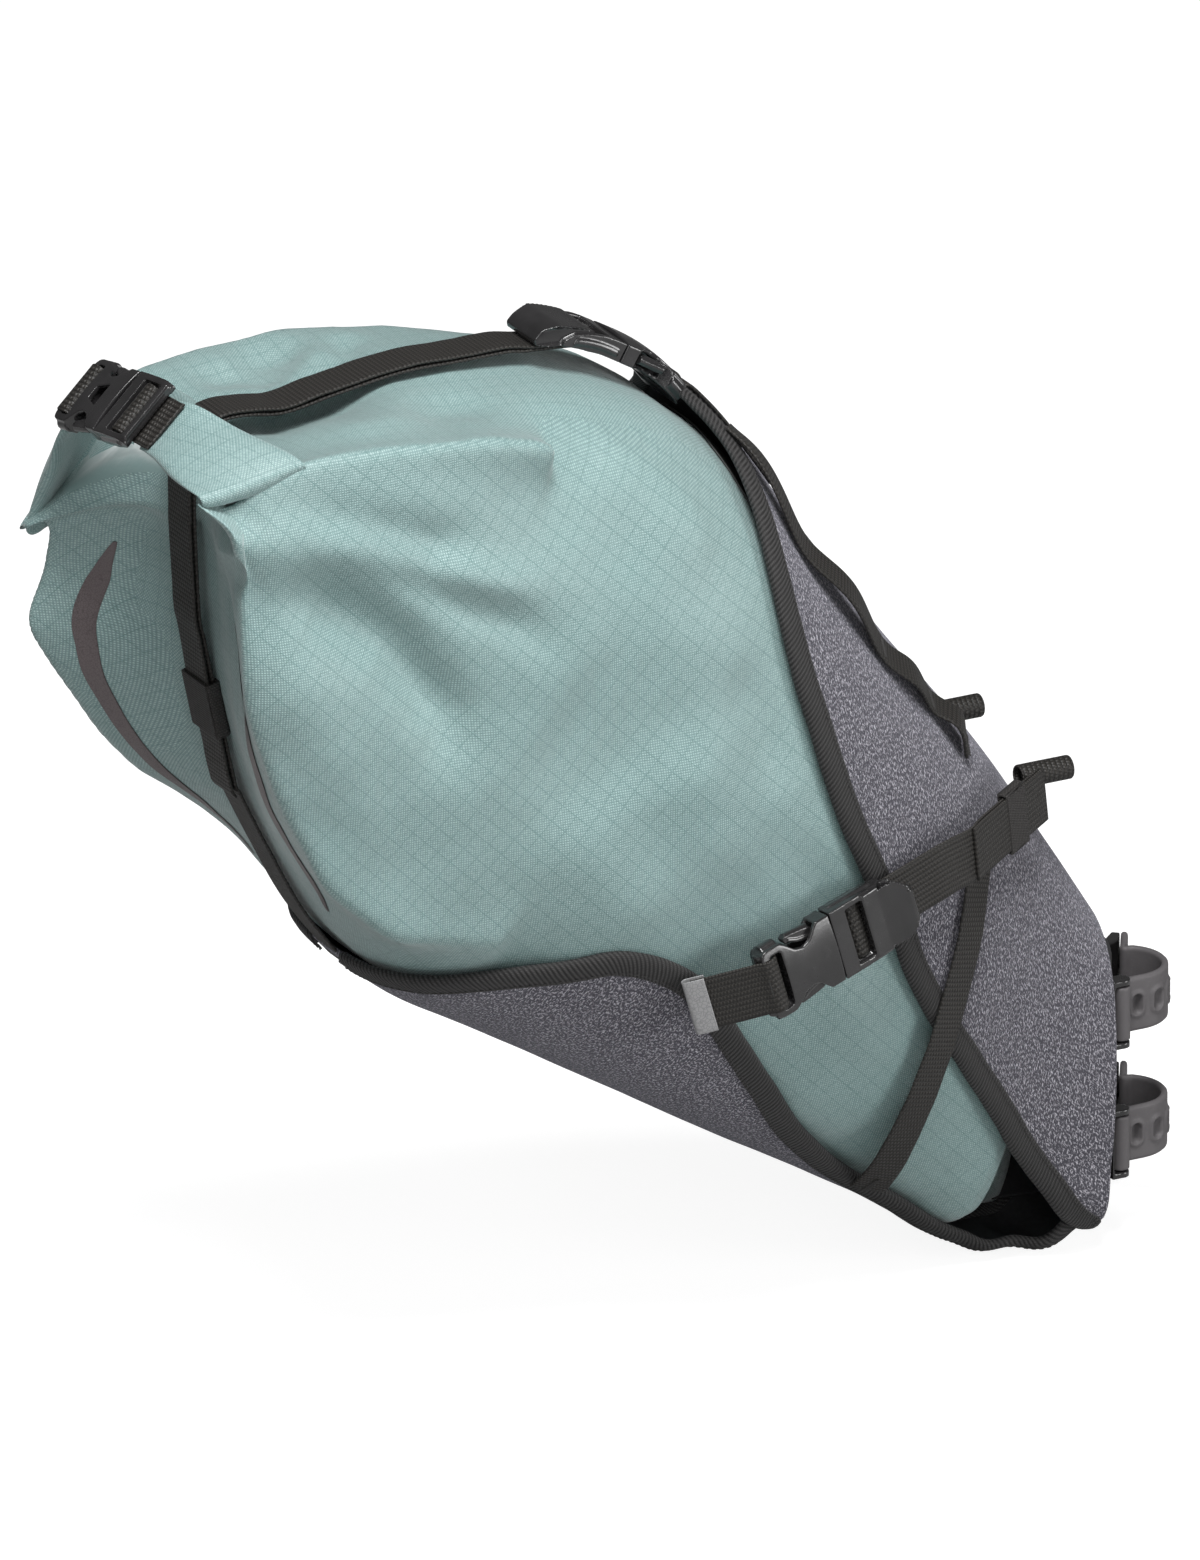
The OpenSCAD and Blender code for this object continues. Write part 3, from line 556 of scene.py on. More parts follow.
def stitches(name, rows, body="bag", size=(2.6, 0.55, 0.4), pitch=3.6):
    """Raised stitches along routes: each row is (points, outward sides)."""
    verts, faces = [], []
    ring = [(-0.5, 0.0), (-0.32, 0.8), (0.0, 1.0), (0.32, 0.8), (0.5, 0.0)]
    for points, outs in rows:
        p = np.asarray(points, float)
        s = lengths(p)
        marks = np.arange(pitch / 2, s[-1], pitch)
        at = sampled(marks, s, p)
        nx = sampled(marks + 0.5, s, p)
        o = unit(sampled(marks, s, np.asarray(outs)))
        d = unit(nx - at)
        w = np.cross(d, o)
        for a, b, c, e in zip(at, d, w, o):
            base = len(verts)
            for x, r in ring:
                for ang in (0, 60, 120, 180, 240, 300):
                    ca, sa = math.cos(math.radians(ang)), math.sin(math.radians(ang))
                    verts.append(a + b * size[0] * x + c * size[1] * r * ca * 0.5
                                 + e * size[2] * r * sa * 0.5)
            for i in range(len(ring) - 1):
                for j in range(6):
                    q = (j + 1) % 6
                    faces.append((base + i * 6 + j, base + i * 6 + q,
                                  base + i * 6 + 6 + q, base + i * 6 + 6 + j))
    return mesh_object(name, verts, faces, THREAD, None, body)


# ---------------------------------------------------------------- dry bag
def ridges(g, us, lines):
    """Draws rings of the grid out to ridge lines. A line is (side, rows of u x y z reach,
    sharpness); its pull grows over the first two rows and holds from there."""
    total = np.zeros_like(g)
    weight = np.zeros(g.shape[:2])
    core = g[:, :-1]
    for side, rows, sharp in lines:
        rows = np.asarray(rows, float)
        inside = (us >= rows[0, 0]) & (us <= rows[-1, 0] + 1e-6)
        pick = np.nonzero(inside)[0]
        t = np.stack([np.interp(us[pick], rows[:, 0], rows[:, k]) for k in (1, 2, 3)], -1)
        t = np.stack([np.convolve(np.pad(t[:, k], 3, "edge"), np.ones(7) / 7, "valid")
                      for k in range(3)], -1)
        best = []
        for i, q in zip(pick, t):
            d = ((core[i] - q) ** 2).sum(-1) + 1e6 * (core[i, :, 1] * side < 0)
            best.append(float(np.argmin(d)))
        best = np.convolve(np.pad(best, 4, "edge"), np.ones(9) / 9, "valid")
        reach = np.interp(us, rows[:, 0], rows[:, 4])
        for i, q, j in zip(pick, t, best):
            s = lengths(g[i])
            at = np.interp(j, np.arange(len(s)), s)
            src = np.array([np.interp(j, np.arange(len(s)), g[i, :, k]) for k in range(3)])
            gap = np.abs(s - at)
            gap = np.minimum(gap, s[-1] - gap)
            w = np.exp(-(gap / reach[i]) ** sharp)
            fade = smooth(us[i], rows[0, 0], rows[1, 0])
            total[i] += (q - src) * (w * w * fade)[:, None]
            weight[i] += w * fade
    return g + total / np.maximum(weight, 1e-6)[..., None]


def dent(points, normals, base, route, radius, depth, ends=0.35):
    """Raises (depth > 0) or lowers a stroke of the surface along a route."""
    t = np.asarray(route, float)
    best = np.full(len(base), 1e9)
    place = np.zeros(len(base))
    for i, (a, b) in enumerate(zip(t[:-1], t[1:])):
        ab = b - a
        f = np.clip(((base - a) @ ab) / (ab @ ab), 0, 1)
        d = np.linalg.norm(base - (a + f[:, None] * ab), axis=1)
        near = d < best
        best = np.where(near, d, best)
        place = np.where(near, (i + f) / (len(t) - 1), place)
    env = smooth(place, 0, ends) * smooth(1 - place, 0, ends)
    w = np.exp(-(best / radius) ** 2) * env
    return points + normals * (depth * w)[:, None]


def bag_rows():
    """Places of the bag's rings, closer together at the nose."""
    return np.concatenate([np.linspace(1.0, 1.25, 14)[:-1], np.linspace(1.25, 10.0, BAG_ROWS)])


def bag_grid():
    """Rings of the dry bag with evenly spaced points, nose first."""
    u = bag_rows()
    pull = 1 - 0.05 * (1 - smooth(u, 1.0, 1.16)) ** 1.5
    fine = np.linspace(0, 360, 721)
    rings = []
    for ui, k in zip(u, pull):
        ring = skin(ui, 270 + fine)
        mid = (skin(ui, 270.0) + skin(ui, 90.0)) / 2
        ring = mid + (ring - mid) * k
        s = lengths(ring)
        t = np.linspace(0, s[-1], BAG_COLS + 1)
        rings.append(sampled(t, s, ring))
    return np.array(rings)


def grid_normals(g):
    """Outward normals of a grid of rings (closed across, open along)."""
    core = g[:, :-1]
    along_ = np.gradient(core, axis=0)
    across = np.roll(core, -1, axis=1) - np.roll(core, 1, axis=1)
    n = unit(np.cross(along_, across))
    n = np.concatenate([n, n[:, :1]], axis=1)
    centre = g.mean(axis=1, keepdims=True)
    if ((g - centre) * n).sum() < 0:
        n = -n
    return n


NEAR_EAR, FAR_EAR = (-488, -80, 377), (-486, 80, 302)
RIDGES = [
    (-1, [(6.46, -312, -86, 367, 5), (6.64, -323, -87, 373.5, 7), (7.1, -346, -86, 378.5, 13),
          (7.75, -379, -85, 381, 20), (8.4, -412, -82, 382.5, 26), (8.9, -432, -80, 383, 29),
          (9.4, -454, -80, 382, 30), (9.7, -470, -80, 380.5, 30), (10, *NEAR_EAR, 30)], 0.8),
    (-1, [(5.6, -346, -86, 146, 14), (6.6, -396, -84, 156, 18), (7.2, -428, -82, 184, 20),
          (7.9, -442, -80, 225, 24), (8.9, -458, -79, 276, 24), (9.2, -461, -80, 292, 24),
          (9.7, -469, -79, 333, 24), (9.85, -476, -80, 350, 24), (10, *NEAR_EAR, 24)], 1.15),
    (1, [(5.0, -240, 46, 352, 22), (6.0, -289, 52, 367, 22), (6.6, -325, 62, 375.5, 22),
         (7.5, -369, 80, 377, 24), (8.5, -415, 81, 372, 30), (9.3, -440, 80, 369, 30),
         (9.6, -456, 80, 348, 30), (10, *FAR_EAR, 30)], 1.0),
    (1, [(5.6, -346, 86, 146, 14), (6.5, -388, 80, 150, 18), (7.0, -410, 76, 167, 20),
         (7.6, -437, 74, 190, 22), (8.4, -462, 74, 226, 22), (9.0, -489, 77, 262, 20),
         (9.35, -476, 80, 281, 18), (10, *FAR_EAR, 20)], 1.15)]

# Strokes of the surface: route, radius and height (below zero for a valley).
CREASES = [
    ([[-436, 0, 374], [-412, 0, 372], [-388, 0, 376], [-356, 0, 380]], 20, -8.0),
    ([[-452, -86, 360], [-436, -88, 353], [-380, -92, 333], [-352, -93, 334]], 10, -9.0),
    ([[-460, -85, 352], [-413, -90, 339], [-361, -93, 316], [-318, -94, 305]], 9, 5.5),
    ([[-460, -84, 330], [-426, -88, 316], [-399, -92, 293], [-375, -93, 257], [-366, -92, 220]], 13, -10.0),
    ([[-452, -84, 312], [-433, -86, 277], [-414, -88, 228], [-404, -88, 190]], 12, 4.0),
    ([[-420, -88, 336], [-386, -92, 318], [-345, -94, 296], [-310, -95, 270]], 9, -4.0),
    ([[-330, -92, 262], [-300, -94, 240], [-280, -93, 200]], 34, -4.0),
    ([[-330, -88, 350], [-300, -92, 330], [-268, -92, 300]], 16, -3.0),
    ([[-300, -60, 366], [-262, -72, 332], [-240, -84, 290]], 16, 3.0),
    ([[-240, -88, 262], [-226, -90, 228], [-214, -88, 190]], 12, -2.6),
    ([[-270, -92, 232], [-250, -91, 190], [-236, -86, 150]], 16, 2.4),
    ([[-340, -90, 210], [-300, -90, 170], [-262, -84, 132]], 18, 2.6),
    ([[-210, -84, 172], [-188, -78, 132], [-160, -68, 88]], 9, -2.4),
    ([[-196, -80, 112], [-168, -70, 74], [-140, -58, 40]], 10, 2.0),
    ([[-380, -60, 377], [-350, -40, 380], [-322, -30, 380]], 12, -4.0),
    ([[-420, -50, 372], [-380, -45, 380], [-340, -55, 376]], 10, 2.5),
    ([[-450, 30, 340], [-452, 45, 300], [-446, 52, 250]], 14, -5.0),
    ([[-450, -36, 330], [-450, -44, 290], [-444, -46, 240]], 13, -4.5),
    ([[-430, 50, 372], [-400, 44, 377], [-372, 66, 374]], 11, -8.0),
    ([[-412, 26, 378], [-384, 40, 380], [-366, 62, 376]], 8, -5.5),
    ([[-396, 12, 380], [-360, 30, 380], [-345, 55, 376]], 8, -4.0),
    ([[-448, 86, 352], [-400, 92, 336], [-327, 94, 314]], 15, -6.5),
    ([[-462, 82, 330], [-430, 88, 312], [-384, 92, 298], [-352, 94, 256]], 14, -6.0),
    ([[-440, 88, 340], [-395, 92, 322], [-345, 94, 296], [-300, 95, 262]], 13, 4.0),
    ([[-445, 84, 280], [-415, 88, 250], [-400, 86, 205]], 12, -4.0),
    ([[-340, 90, 210], [-300, 90, 170], [-262, 84, 132]], 18, 2.6),
    ([[-240, 88, 262], [-226, 90, 228], [-214, 88, 190]], 12, -2.6)]


def relax(g, rounds, strength=0.5):
    """Evens a closed grid out, the way cloth takes the sharpness off a fold."""
    core = g[:, :-1].copy()
    for _ in range(rounds):
        near = (np.roll(core, 1, 1) + np.roll(core, -1, 1)) / 2
        along_ = core.copy()
        along_[1:-1] = (core[:-2] + core[2:]) / 2
        core += strength * ((near + along_) / 2 - core)
    return np.concatenate([core, core[:, :1]], axis=1)


def make_bag():
    g = bag_grid()
    r, c = g.shape[:2]
    us = bag_rows()
    base = g.reshape(-1, 3).copy()
    p = relax(ridges(g, us, RIDGES), 4).reshape(-1, 3)
    nor2 = grid_normals(p.reshape(r, c, 3)).reshape(-1, 3)
    for route, radius, depth in CREASES:
        p = dent(p, nor2, base, route, radius, depth * 1.3)
    # The tail strap holds the middle in; the sides swell behind it.
    y = np.abs(base[:, 1])
    rear = smooth(-base[:, 0], 400, 436) * smooth(base[:, 2], 150, 230) * (1 - smooth(base[:, 2], 335, 352))
    p[:, 0] -= rear * 9 * smooth(y, 12, 50) * (1 - 0.6 * smooth(y, 66, 90))
    # Low swelling and small creases everywhere outside the harness.
    broad = noise_at(base, 0.011, 1.0, 2)
    small = noise_at(base * np.array([1.0, 1.0, 0.7]), 0.045, 5.0, 3)
    shown = np.minimum(smooth(base[:, 0], -30, -120), 1.0)
    p += nor2 * (broad * 2.4 + small * 0.75)[:, None] * shown[:, None]
    p = relax(p.reshape(r, c, 3), 3)
    # Neck that carries the bag's end into the roll.
    neck = []
    top = p[-1]
    middle = np.array([-441.0, 0, 352.0])
    for k in range(1, 7):
        f = k / 6
        ring = top + (middle - top) * np.array([0.30, 0.16, 0.30]) * f
        ring[:, 2] += 9 * f * (1 - (ring[:, 1] / 90) ** 2)
        neck.append(ring)
    # The closed end is folded to a wedge that lies over to the left side.
    nose = []
    first = p[0]
    for k in np.linspace(1, 0, 7)[:-1]:
        corner = skin(1.0 - 0.55 * k, 316.0, -4.0)
        ring = corner + (first - first.mean(axis=0)) * (1 - 0.72 * k ** 0.7)
        shift = first.mean(axis=0) * (1 - k ** 0.7) + corner * k ** 0.7
        ring = ring - corner + shift
        ring[:, 1] = np.minimum(ring[:, 1], first[:, 1].max() - 2)
        nose.append(ring)
    g2 = np.concatenate([np.array(nose), p, np.array(neck)], axis=0)
    g2[:, -1] = g2[:, 0]
    rows = len(g2)
    uv = np.zeros((rows, c, 2))
    verts, faces, uvs = tube_mesh(g2[:, :-1], uv)
    # The weave lies straight on each panel: two sides cut along the bag, the rear and the top.
    lie = np.abs(grid_normals(relax(g2, 40)))[:-1, :c - 1]
    charts = [np.stack([g2[..., 0] * 0.69 + g2[..., 2] * 0.72, g2[..., 2] * 0.69 - g2[..., 0] * 0.72], -1),
              g2[..., [1, 2]], g2[..., [1, 0]]]
    which = np.where(lie[..., 1] > 0.42, 0, np.where(lie[..., 0] > lie[..., 2], 1, 2))
    uvs = np.array(uvs)
    for number, chart in enumerate(charts):
        i, j = np.nonzero(which == number)
        k = i * (c - 1) + j
        for corner, (di, dj) in enumerate(((0, 0), (0, 1), (1, 1), (1, 0))):
            uvs[4 * k + corner] = chart[i + di, j + dj] + 900
    uvs = list(uvs)
    return mesh_object("dry_bag_shell", verts, [f[::-1] for f in faces],
                       RIPSTOP, flip_uvs(faces, uvs), "bag", "dry_bag")


def flip_uvs(faces, uvs):
    out, k = [], 0
    for f in faces:
        out += uvs[k:k + len(f)][::-1]
        k += len(f)
    return out


bag = make_bag()


def drape(rows, lift):
    """Points of Y and Z pressed forward on to the rear of the finished bag."""
    out = []
    for y, z in rows:
        hit, n, _, _ = BAG_TREE.ray_cast(Vector((-0.7, y * MM, z * MM)), Vector((1, 0, 0)))
        out.append(np.array(hit) / MM + np.array(n) * lift * (-1 if n[0] > 0 else 1))
    return np.array(out)


BAG_TREE = BVHTree.FromPolygons([v.co for v in bag.data.vertices],
                                [tuple(q.vertices) for q in bag.data.polygons])

# ---------------------------------------------------------------- rolled closure
ROLL_FOLDS = [
    # (lower edge), (upper edge), half thickness, from the near end round to the far end
    ((-485, -21, 375.4), (-464, -19, 392.4), 2.0), ((-485.5, -33, 376.0), (-460.5, -30, 392.6), 2.6),
    ((-487.5, -52, 375.5), (-452, -48, 388), 3.0), ((-488, -71, 375), (-442, -69, 383.5), 2.4),
    ((-487, -79.5, 373.5), (-438, -79, 380.5), 1.4), ((-484, -79, 369), (-434, -77, 376), 1.2),
    ((-470, -72, 366), (-428, -68, 374), 2.2),
    ((-448, -40, 348), (-432, -38, 371), 4.0), ((-441, 0, 345), (-437, 0, 372), 4.5),
    ((-446, 40, 338), (-434, 38, 371), 4.5), ((-462, 70, 318), (-434, 68, 366), 4.5),
    ((-476, 80, 304), (-436, 80, 362), 4.5), ((-486, 81, 302), (-440, 81, 368), 4.5),
    ((-485, 74, 318), (-448, 77, 371), 4.0), ((-485.5, 63, 336), (-456, 68, 374), 3.6),
    ((-487, 54, 350), (-463, 56, 378), 3.0), ((-488, 43, 362), (-465, 45, 382), 2.4)]


def make_roll():
    lo = np.array([q[0] for q in ROLL_FOLDS], float)
    hi = np.array([q[1] for q in ROLL_FOLDS], float)
    half = np.array([[q[2]] for q in ROLL_FOLDS])
    us = np.linspace(0, len(lo) - 1, 16 * (len(lo) - 1) + 1)
    a, b, w = along(lo, us), along(hi, us), along(half, us)[:, 0]
    c, tall = (a + b) / 2, (b - a) / 2
    t = unit(np.gradient(c, axis=0))
    n = unit(np.cross(t, tall))
    ang = np.radians(np.arange(0, 360, 5))
    layer = 1 + 0.10 * np.sin(ang * 2 + 0.6) + 0.05 * np.cos(ang * 5)
    g = c[:, None] + tall[:, None] * (power(np.cos(ang), 0.85))[None, :, None] \
        + n[:, None] * (w[:, None] * power(np.sin(ang), 0.75) * layer)[..., None]
    g = g + n[:, None] * (0.6 * np.sin(us[:, None] * 2.1 + ang[None] * 2))[..., None]
    g = np.concatenate([g, g[:, :1]], axis=1)
    v = lengths(c)
    k = widths_across(g)
    uv = np.stack([k, np.broadcast_to(v[:, None], k.shape)], -1)
    verts, faces, uvs = tube_mesh(g[:, :-1], uv)
    ob = mesh_object("rolled_closure", verts, faces, RIPSTOP, uvs, "bag",
                     ["roll_closure", "closure_strip"])
    fix_normals(ob)
    return ob


def fix_normals(ob):
    bm = bmesh.new()
    bm.from_mesh(ob.data)
    bmesh.ops.recalc_face_normals(bm, faces=bm.faces)
    bm.to_mesh(ob.data)
    bm.free()


make_roll()


# ---------------------------------------------------------------- harness
def edge_rows(edge, count):
    return along(edge, np.linspace(0, len(edge) - 1, count))


def lift(u, a):
    """How far the buckle's pull holds the top end of the harness off the bag."""
    return 6.5 * smooth(np.asarray(u, float), 3.7, 4.8) * np.exp(-((np.asarray(a, float) - 90) / 55) ** 2)


def over(u, a, middle):
    """The wings lie outside the cradle at the nose, and the cradle's rim sags there."""
    u, a = np.asarray(u, float), np.asarray(a, float)
    if middle == 90:
        return 4.4 * smooth(np.abs(a - 90), 112, 138) * (1 - smooth(u, 0.5, 1.0))
    sag = smooth(u, 0.05, 0.4) * (1 - smooth(u, 0.55, 1.2))
    return sag * (5.0 + 1.6 * np.sin(u * 17.0)) * (1 - smooth(np.abs(a - 270), 20, 40))


def panel(name, edge, middle, rows, cols, lo, hi, replaces, seed):
    e = edge_rows(edge, rows)
    f = np.linspace(-1, 1, cols)
    u = np.broadcast_to(e[:, :1], (rows, cols))
    a = middle + e[:, 1:2] * f[None]
    swell = noise_at(skin(u, a).reshape(-1, 3), 0.02, seed, 2).reshape(rows, cols)
    rise = lift(u, a) + over(u, a, middle)
    top = skin(u, a, hi + 0.6 * swell + rise)
    low = skin(u, a, lo + rise)
    verts = np.concatenate([top.reshape(-1, 3), low.reshape(-1, 3)])
    o = rows * cols
    v = lengths(top[:, cols // 2])
    w = widths_across(top)
    w = w - w[:, cols // 2:cols // 2 + 1]
    uvg = np.stack([w + 300, np.broadcast_to(v[:, None], w.shape)], -1)
    faces, uvs, mats = [], [], []
    for i in range(rows - 1):
        for j in range(cols - 1):
            quad = [(i, j), (i, j + 1), (i + 1, j + 1), (i + 1, j)]
            faces.append(tuple(x * cols + y for x, y in quad))
            uvs += [uvg[x, y] for x, y in quad]
            faces.append(tuple(o + x * cols + y for x, y in quad[::-1]))
            uvs += [uvg[x, y] for x, y in quad[::-1]]
            mats += [0, 1]
    rim = [(0, j) for j in range(cols)] + [(i, cols - 1) for i in range(1, rows)] \
        + [(rows - 1, j) for j in range(cols - 2, -1, -1)] + [(i, 0) for i in range(rows - 2, 0, -1)]
    for q in range(len(rim)):
        a1, b1 = rim[q], rim[(q + 1) % len(rim)]
        ka, kb = a1[0] * cols + a1[1], b1[0] * cols + b1[1]
        faces.append((kb, ka, o + ka, o + kb))
        uvs += [uvg[b1], uvg[a1], uvg[a1], uvg[b1]]
        mats.append(0)
    ob = mesh_object(name, verts, faces, [MELANGE, LINING], uvs, "bag",
                     replaces, mats)
    fix_normals(ob)
    return ob


panel("harness_upper_panel", UPPER_EDGE, 90, 150, 130, HARNESS_IN, HARNESS_OUT, "upper_harness", 2.0)
panel("harness_lower_panel", LOWER_EDGE, 270, 170, 70, HARNESS_IN, HARNESS_OUT, "lower_harness", 3.0)


def grid_faces(rows, cols):
    return [(i * cols + j, i * cols + j + 1, (i + 1) * cols + j + 1, (i + 1) * cols + j)
            for i in range(rows - 1) for j in range(cols - 1)]


def thicken(ob):
    mod = ob.modifiers.new("thickness", "SOLIDIFY")
    mod.thickness, mod.offset = 0.8 * MM, 0


def gap_shade_sheet(name, us, angles, h):
    """A near-black sheet of painted shade that fills the gap inside the harness towards the far side of the
    nose.
    """
    u, a = np.meshgrid(np.linspace(*us, 24), np.linspace(*angles, 20), indexing="ij")
    p = skin(u, a, h)
    thicken(mesh_object(name, p.reshape(-1, 3), grid_faces(24, 20), LINING, None, "bag"))


# Painted shade: a dark sheet stands in for the shadow seen through the harness at the nose.
gap_shade_sheet("nose_gap_shade_sheet", (0.03, 1.15), (288, 326), 1.6)


def nose_wall():
    """The harness is closed across its narrow end, behind the pad."""
    rim = skin(0.05, np.arange(0, 360, 5.0), 2.4)
    mid = rim.mean(axis=0)
    rings = np.array([mid + (rim - mid) * k for k in np.linspace(1, 0.04, 12)])
    rings[:, :, 0] -= 1.5 * np.sin(np.linspace(0, 3.0, 12))[:, None]
    uv = np.zeros((12, rings.shape[1] + 1, 2))
    verts, faces, _ = tube_mesh(rings, uv)
    thicken(mesh_object("nose_wall", verts, faces[:-2] + faces[-1:], LINING, None, "bag"))


nose_wall()


def stiff_panel(name, edge, middle, replaces):
    e = edge_rows(edge, 60)
    f = np.linspace(-1, 1, 40)
    rings = skin(np.broadcast_to(e[:, :1], (60, 40)), middle + e[:, 1:2] * f[None], 1.7)
    thicken(mesh_object(name, rings.reshape(-1, 3), grid_faces(60, 40), SHEETING, None, "bag",
                        replaces))


stiff_panel("upper_stiff_sheet", [[e[0] + 0.15, (e[1] - 12) * 0.75] for e in UPPER_EDGE if e[1] > 30],
            90, "upper_stiffener")
stiff_panel("base_stiff_sheet", [[e[0], e[1] * 0.7] for e in LOWER_EDGE if e[0] > 0.9 and e[1] > 14],
            270, "base_stiffener")

stitch_rows = []


def binding(name, edge, middle, side, replaces, seed):
    """Tape folded round a panel's edge: an outer leaf, the turn over the edge and an inner leaf."""
    rows = edge_rows(edge, 260)
    a_out, a_in = middle + side * rows[:, 1], middle + side * (rows[:, 1] - 4.0)
    half_way = (HARNESS_IN + HARNESS_OUT) / 2
    e = skin(rows[:, 0], a_out, half_way + lift(rows[:, 0], a_out) + over(rows[:, 0], a_out, middle))
    inner = skin(rows[:, 0], a_in, half_way + lift(rows[:, 0], a_in) + over(rows[:, 0], a_in, middle))
    s = lengths(e)
    t = np.linspace(0, s[-1], int(s[-1] / 2.2))
    e = sampled(t, s, e)
    inner = sampled(t, s, inner)
    o = unit(sampled(t, s, skin_out(rows[:, 0], a_out)))
    d = unit(np.gradient(e, axis=0))
    inward = unit(np.cross(d, o))
    flip = np.sign((inward * (inner - e)).sum())
    inward = inward * (flip if flip else 1)
    # (inward, up) section: outer leaf with its rounded stitched edge, the turn, the inner leaf.
    outer = [(9.5, 1.15), (9.6, 1.75), (9.0, 2.05), (7.6, 2.1), (6.0, 2.35), (4.0, 2.65), (2.0, 2.6),
             (0.4, 2.35), (-1.2, 1.6), (-1.9, 0.5), (-1.9, -0.5), (-1.3, -1.5), (0.2, -2.05),
             (3.0, -2.15), (6.0, -2.1), (6.1, -1.35), (3.0, -1.3), (0.9, -1.15), (0.9, 1.3),
             (3.0, 1.35), (6.0, 1.3)]
    sec = np.array(outer)
    bulge = 1 + 0.10 * np.array([noise.noise(Vector((x * 0.11, seed, 0.3))) for x in t])
    wob = np.array([noise.noise(Vector((x * 0.05, seed, 9.3))) for x in t]) * 0.5
    # Both ends are folded in to a round tip.
    near_end = np.clip(np.minimum(t, t[-1] - t) / 6.0, 0.0, 1)
    tip = np.sqrt(1 - (1 - near_end) ** 2).clip(0.12)[:, None, None]
    rings = e[:, None] + inward[:, None] * (4.0 + (sec[None, :, 0:1] - 4.0) * tip + wob[:, None, None]) \
        + o[:, None] * (sec[None, :, 1:2] * bulge[:, None, None])
    arc = lengths(np.vstack([sec, sec[:1]]))
    uv = np.stack([np.broadcast_to(arc * side, (len(t), len(arc))) + 40,
                   np.broadcast_to(t[:, None], (len(t), len(arc)))], -1)
    verts, faces, uvs = tube_mesh(rings, uv)
    ob = mesh_object(name, verts, faces, TWILL, uvs, "bag", replaces)
    fix_normals(ob)
    stitch_rows.append((e + inward * 7.9 + o * 2.3, o))
    return ob


binding("upper_tape_right", UPPER_EDGE, 90, 1, "upper_binding_right", 1.0)
binding("upper_tape_left", UPPER_EDGE, 90, -1, "upper_binding_left", 2.0)
binding("lower_tape_right", LOWER_EDGE, 270, -1, "lower_binding_right", 3.0)
binding("lower_tape_left", LOWER_EDGE, 270, 1, "lower_binding_left", 4.0)


# ---------------------------------------------------------------- straps on the skin
def skin_band(name, route, h, width, thick, mat, left=False, step=1.6, **more):
    q = along(route, np.linspace(0, len(route) - 1, 24 * (len(route) - 1) + 1))
    hs = h(np.linspace(0, len(route) - 1, len(q))) if callable(h) else h
    p, n = skin(q[:, 0], q[:, 1], hs + lift(q[:, 0], q[:, 1])), skin_out(q[:, 0], q[:, 1])
    if left:
        p, n = mirrored(p), mirrored(n)
    return band(name, p, n, width, thick, mat, step, **more)


def daisy_height(x):
    f = x % 1.0
    return TRIM_OFF + 1.6 + 5.0 * np.sin(np.pi * f) ** 2 * (1 - 0.25 * np.sin(3 * x))


def reflector(side, sign):
    """A printed strip that lies on the rear of the bag, narrowing to its ends."""
    us = np.linspace(0, len(REFLECTOR) - 1, 110)
    q = along(REFLECTOR, us)
    cols = 9
    half = 3.9 * np.minimum(1, 0.15 + 5 * np.minimum(us, us[-1] - us) / us[-1])
    across = np.linspace(-1, 1, cols)
    grid = np.stack([sign * (q[:, :1] + across * half[:, None]),
                     np.broadcast_to(q[:, 1:], (len(us), cols))], -1)
    top = drape(grid.reshape(-1, 2), 0.5)
    n = len(top)
    verts = np.concatenate([top, top + [0.35, 0, 0.1]])
    faces, uvs = [], []
    for i in range(len(us) - 1):
        for j in range(cols - 1):
            quad = [i * cols + j, i * cols + j + 1, (i + 1) * cols + j + 1, (i + 1) * cols + j]
            faces += [tuple(quad), tuple(n + k for k in quad[::-1])]
            cell = [(j * 1.4, i * 1.3), (j * 1.4 + 1.4, i * 1.3), (j * 1.4 + 1.4, i * 1.3 + 1.3),
                    (j * 1.4, i * 1.3 + 1.3)]
            uvs += cell + cell[::-1]
    ob = mesh_object("rear_reflector_" + side, verts, faces, PRINT, uvs, "bag",
                     "reflector_" + side)
    fix_normals(ob)


TACKS = []
for side in ("right", "left"):
    lf = side == "left"
    skin_band("daisy_chain_" + side, DAISY, daisy_height, 14, 1.5, NARROW, lf,
              replaces="daisy_" + side, cols=10)
    skin_band("stabiliser_strap_" + side, STABILISER, STABILISER_OFF, 16, 1.4, NARROW, lf,
              replaces="stabiliser_" + side, cols=10, wobble=0.4)
    reflector(side, 1 if lf else -1)


def tack_rows(u, a, h, width, lf):
    """A bar tack: a close zigzag of thread across the strap."""
    da = 1.0
    p0, p1 = skin(u, a - da, h), skin(u, a + da, h)
    w = unit(p1 - p0)
    o = skin_out(u, a)
    at = skin(u, a, h)
    d = np.cross(o, w)
    pts = np.array([at + w * (k * width / 2) for k in np.linspace(-1, 1, 9)])
    outs = np.repeat(o[None], 9, 0)
    rows = [(pts + d * x, outs) for x in (-0.7, 0.0, 0.7)]
    return [(mirrored(a1), mirrored(b1)) for a1, b1 in rows] if lf else rows


for lf in (False, True):
    for q in DAISY:
        TACKS += tack_rows(q[0], float(q[1]), TRIM_OFF + 2.6, 10, lf)
    TACKS += tack_rows(2.14, 239.5, STABILISER_OFF + 1.0, 12, lf)
tacks = stitches("bar_tack_thread", TACKS, size=(1.3, 0.8, 0.6), pitch=1.2)
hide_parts("bar_tacks")

# ---------------------------------------------------------------- buckles
SIDE = axes(SIDE_AT, SIDE_PULL, SIDE_OUT)
TOP = axes(TOP_AT, TOP_PULL, TOP_OUT)
ROLL = axes(ROLL_AT, ROLL_PULL, ROLL_OUT)


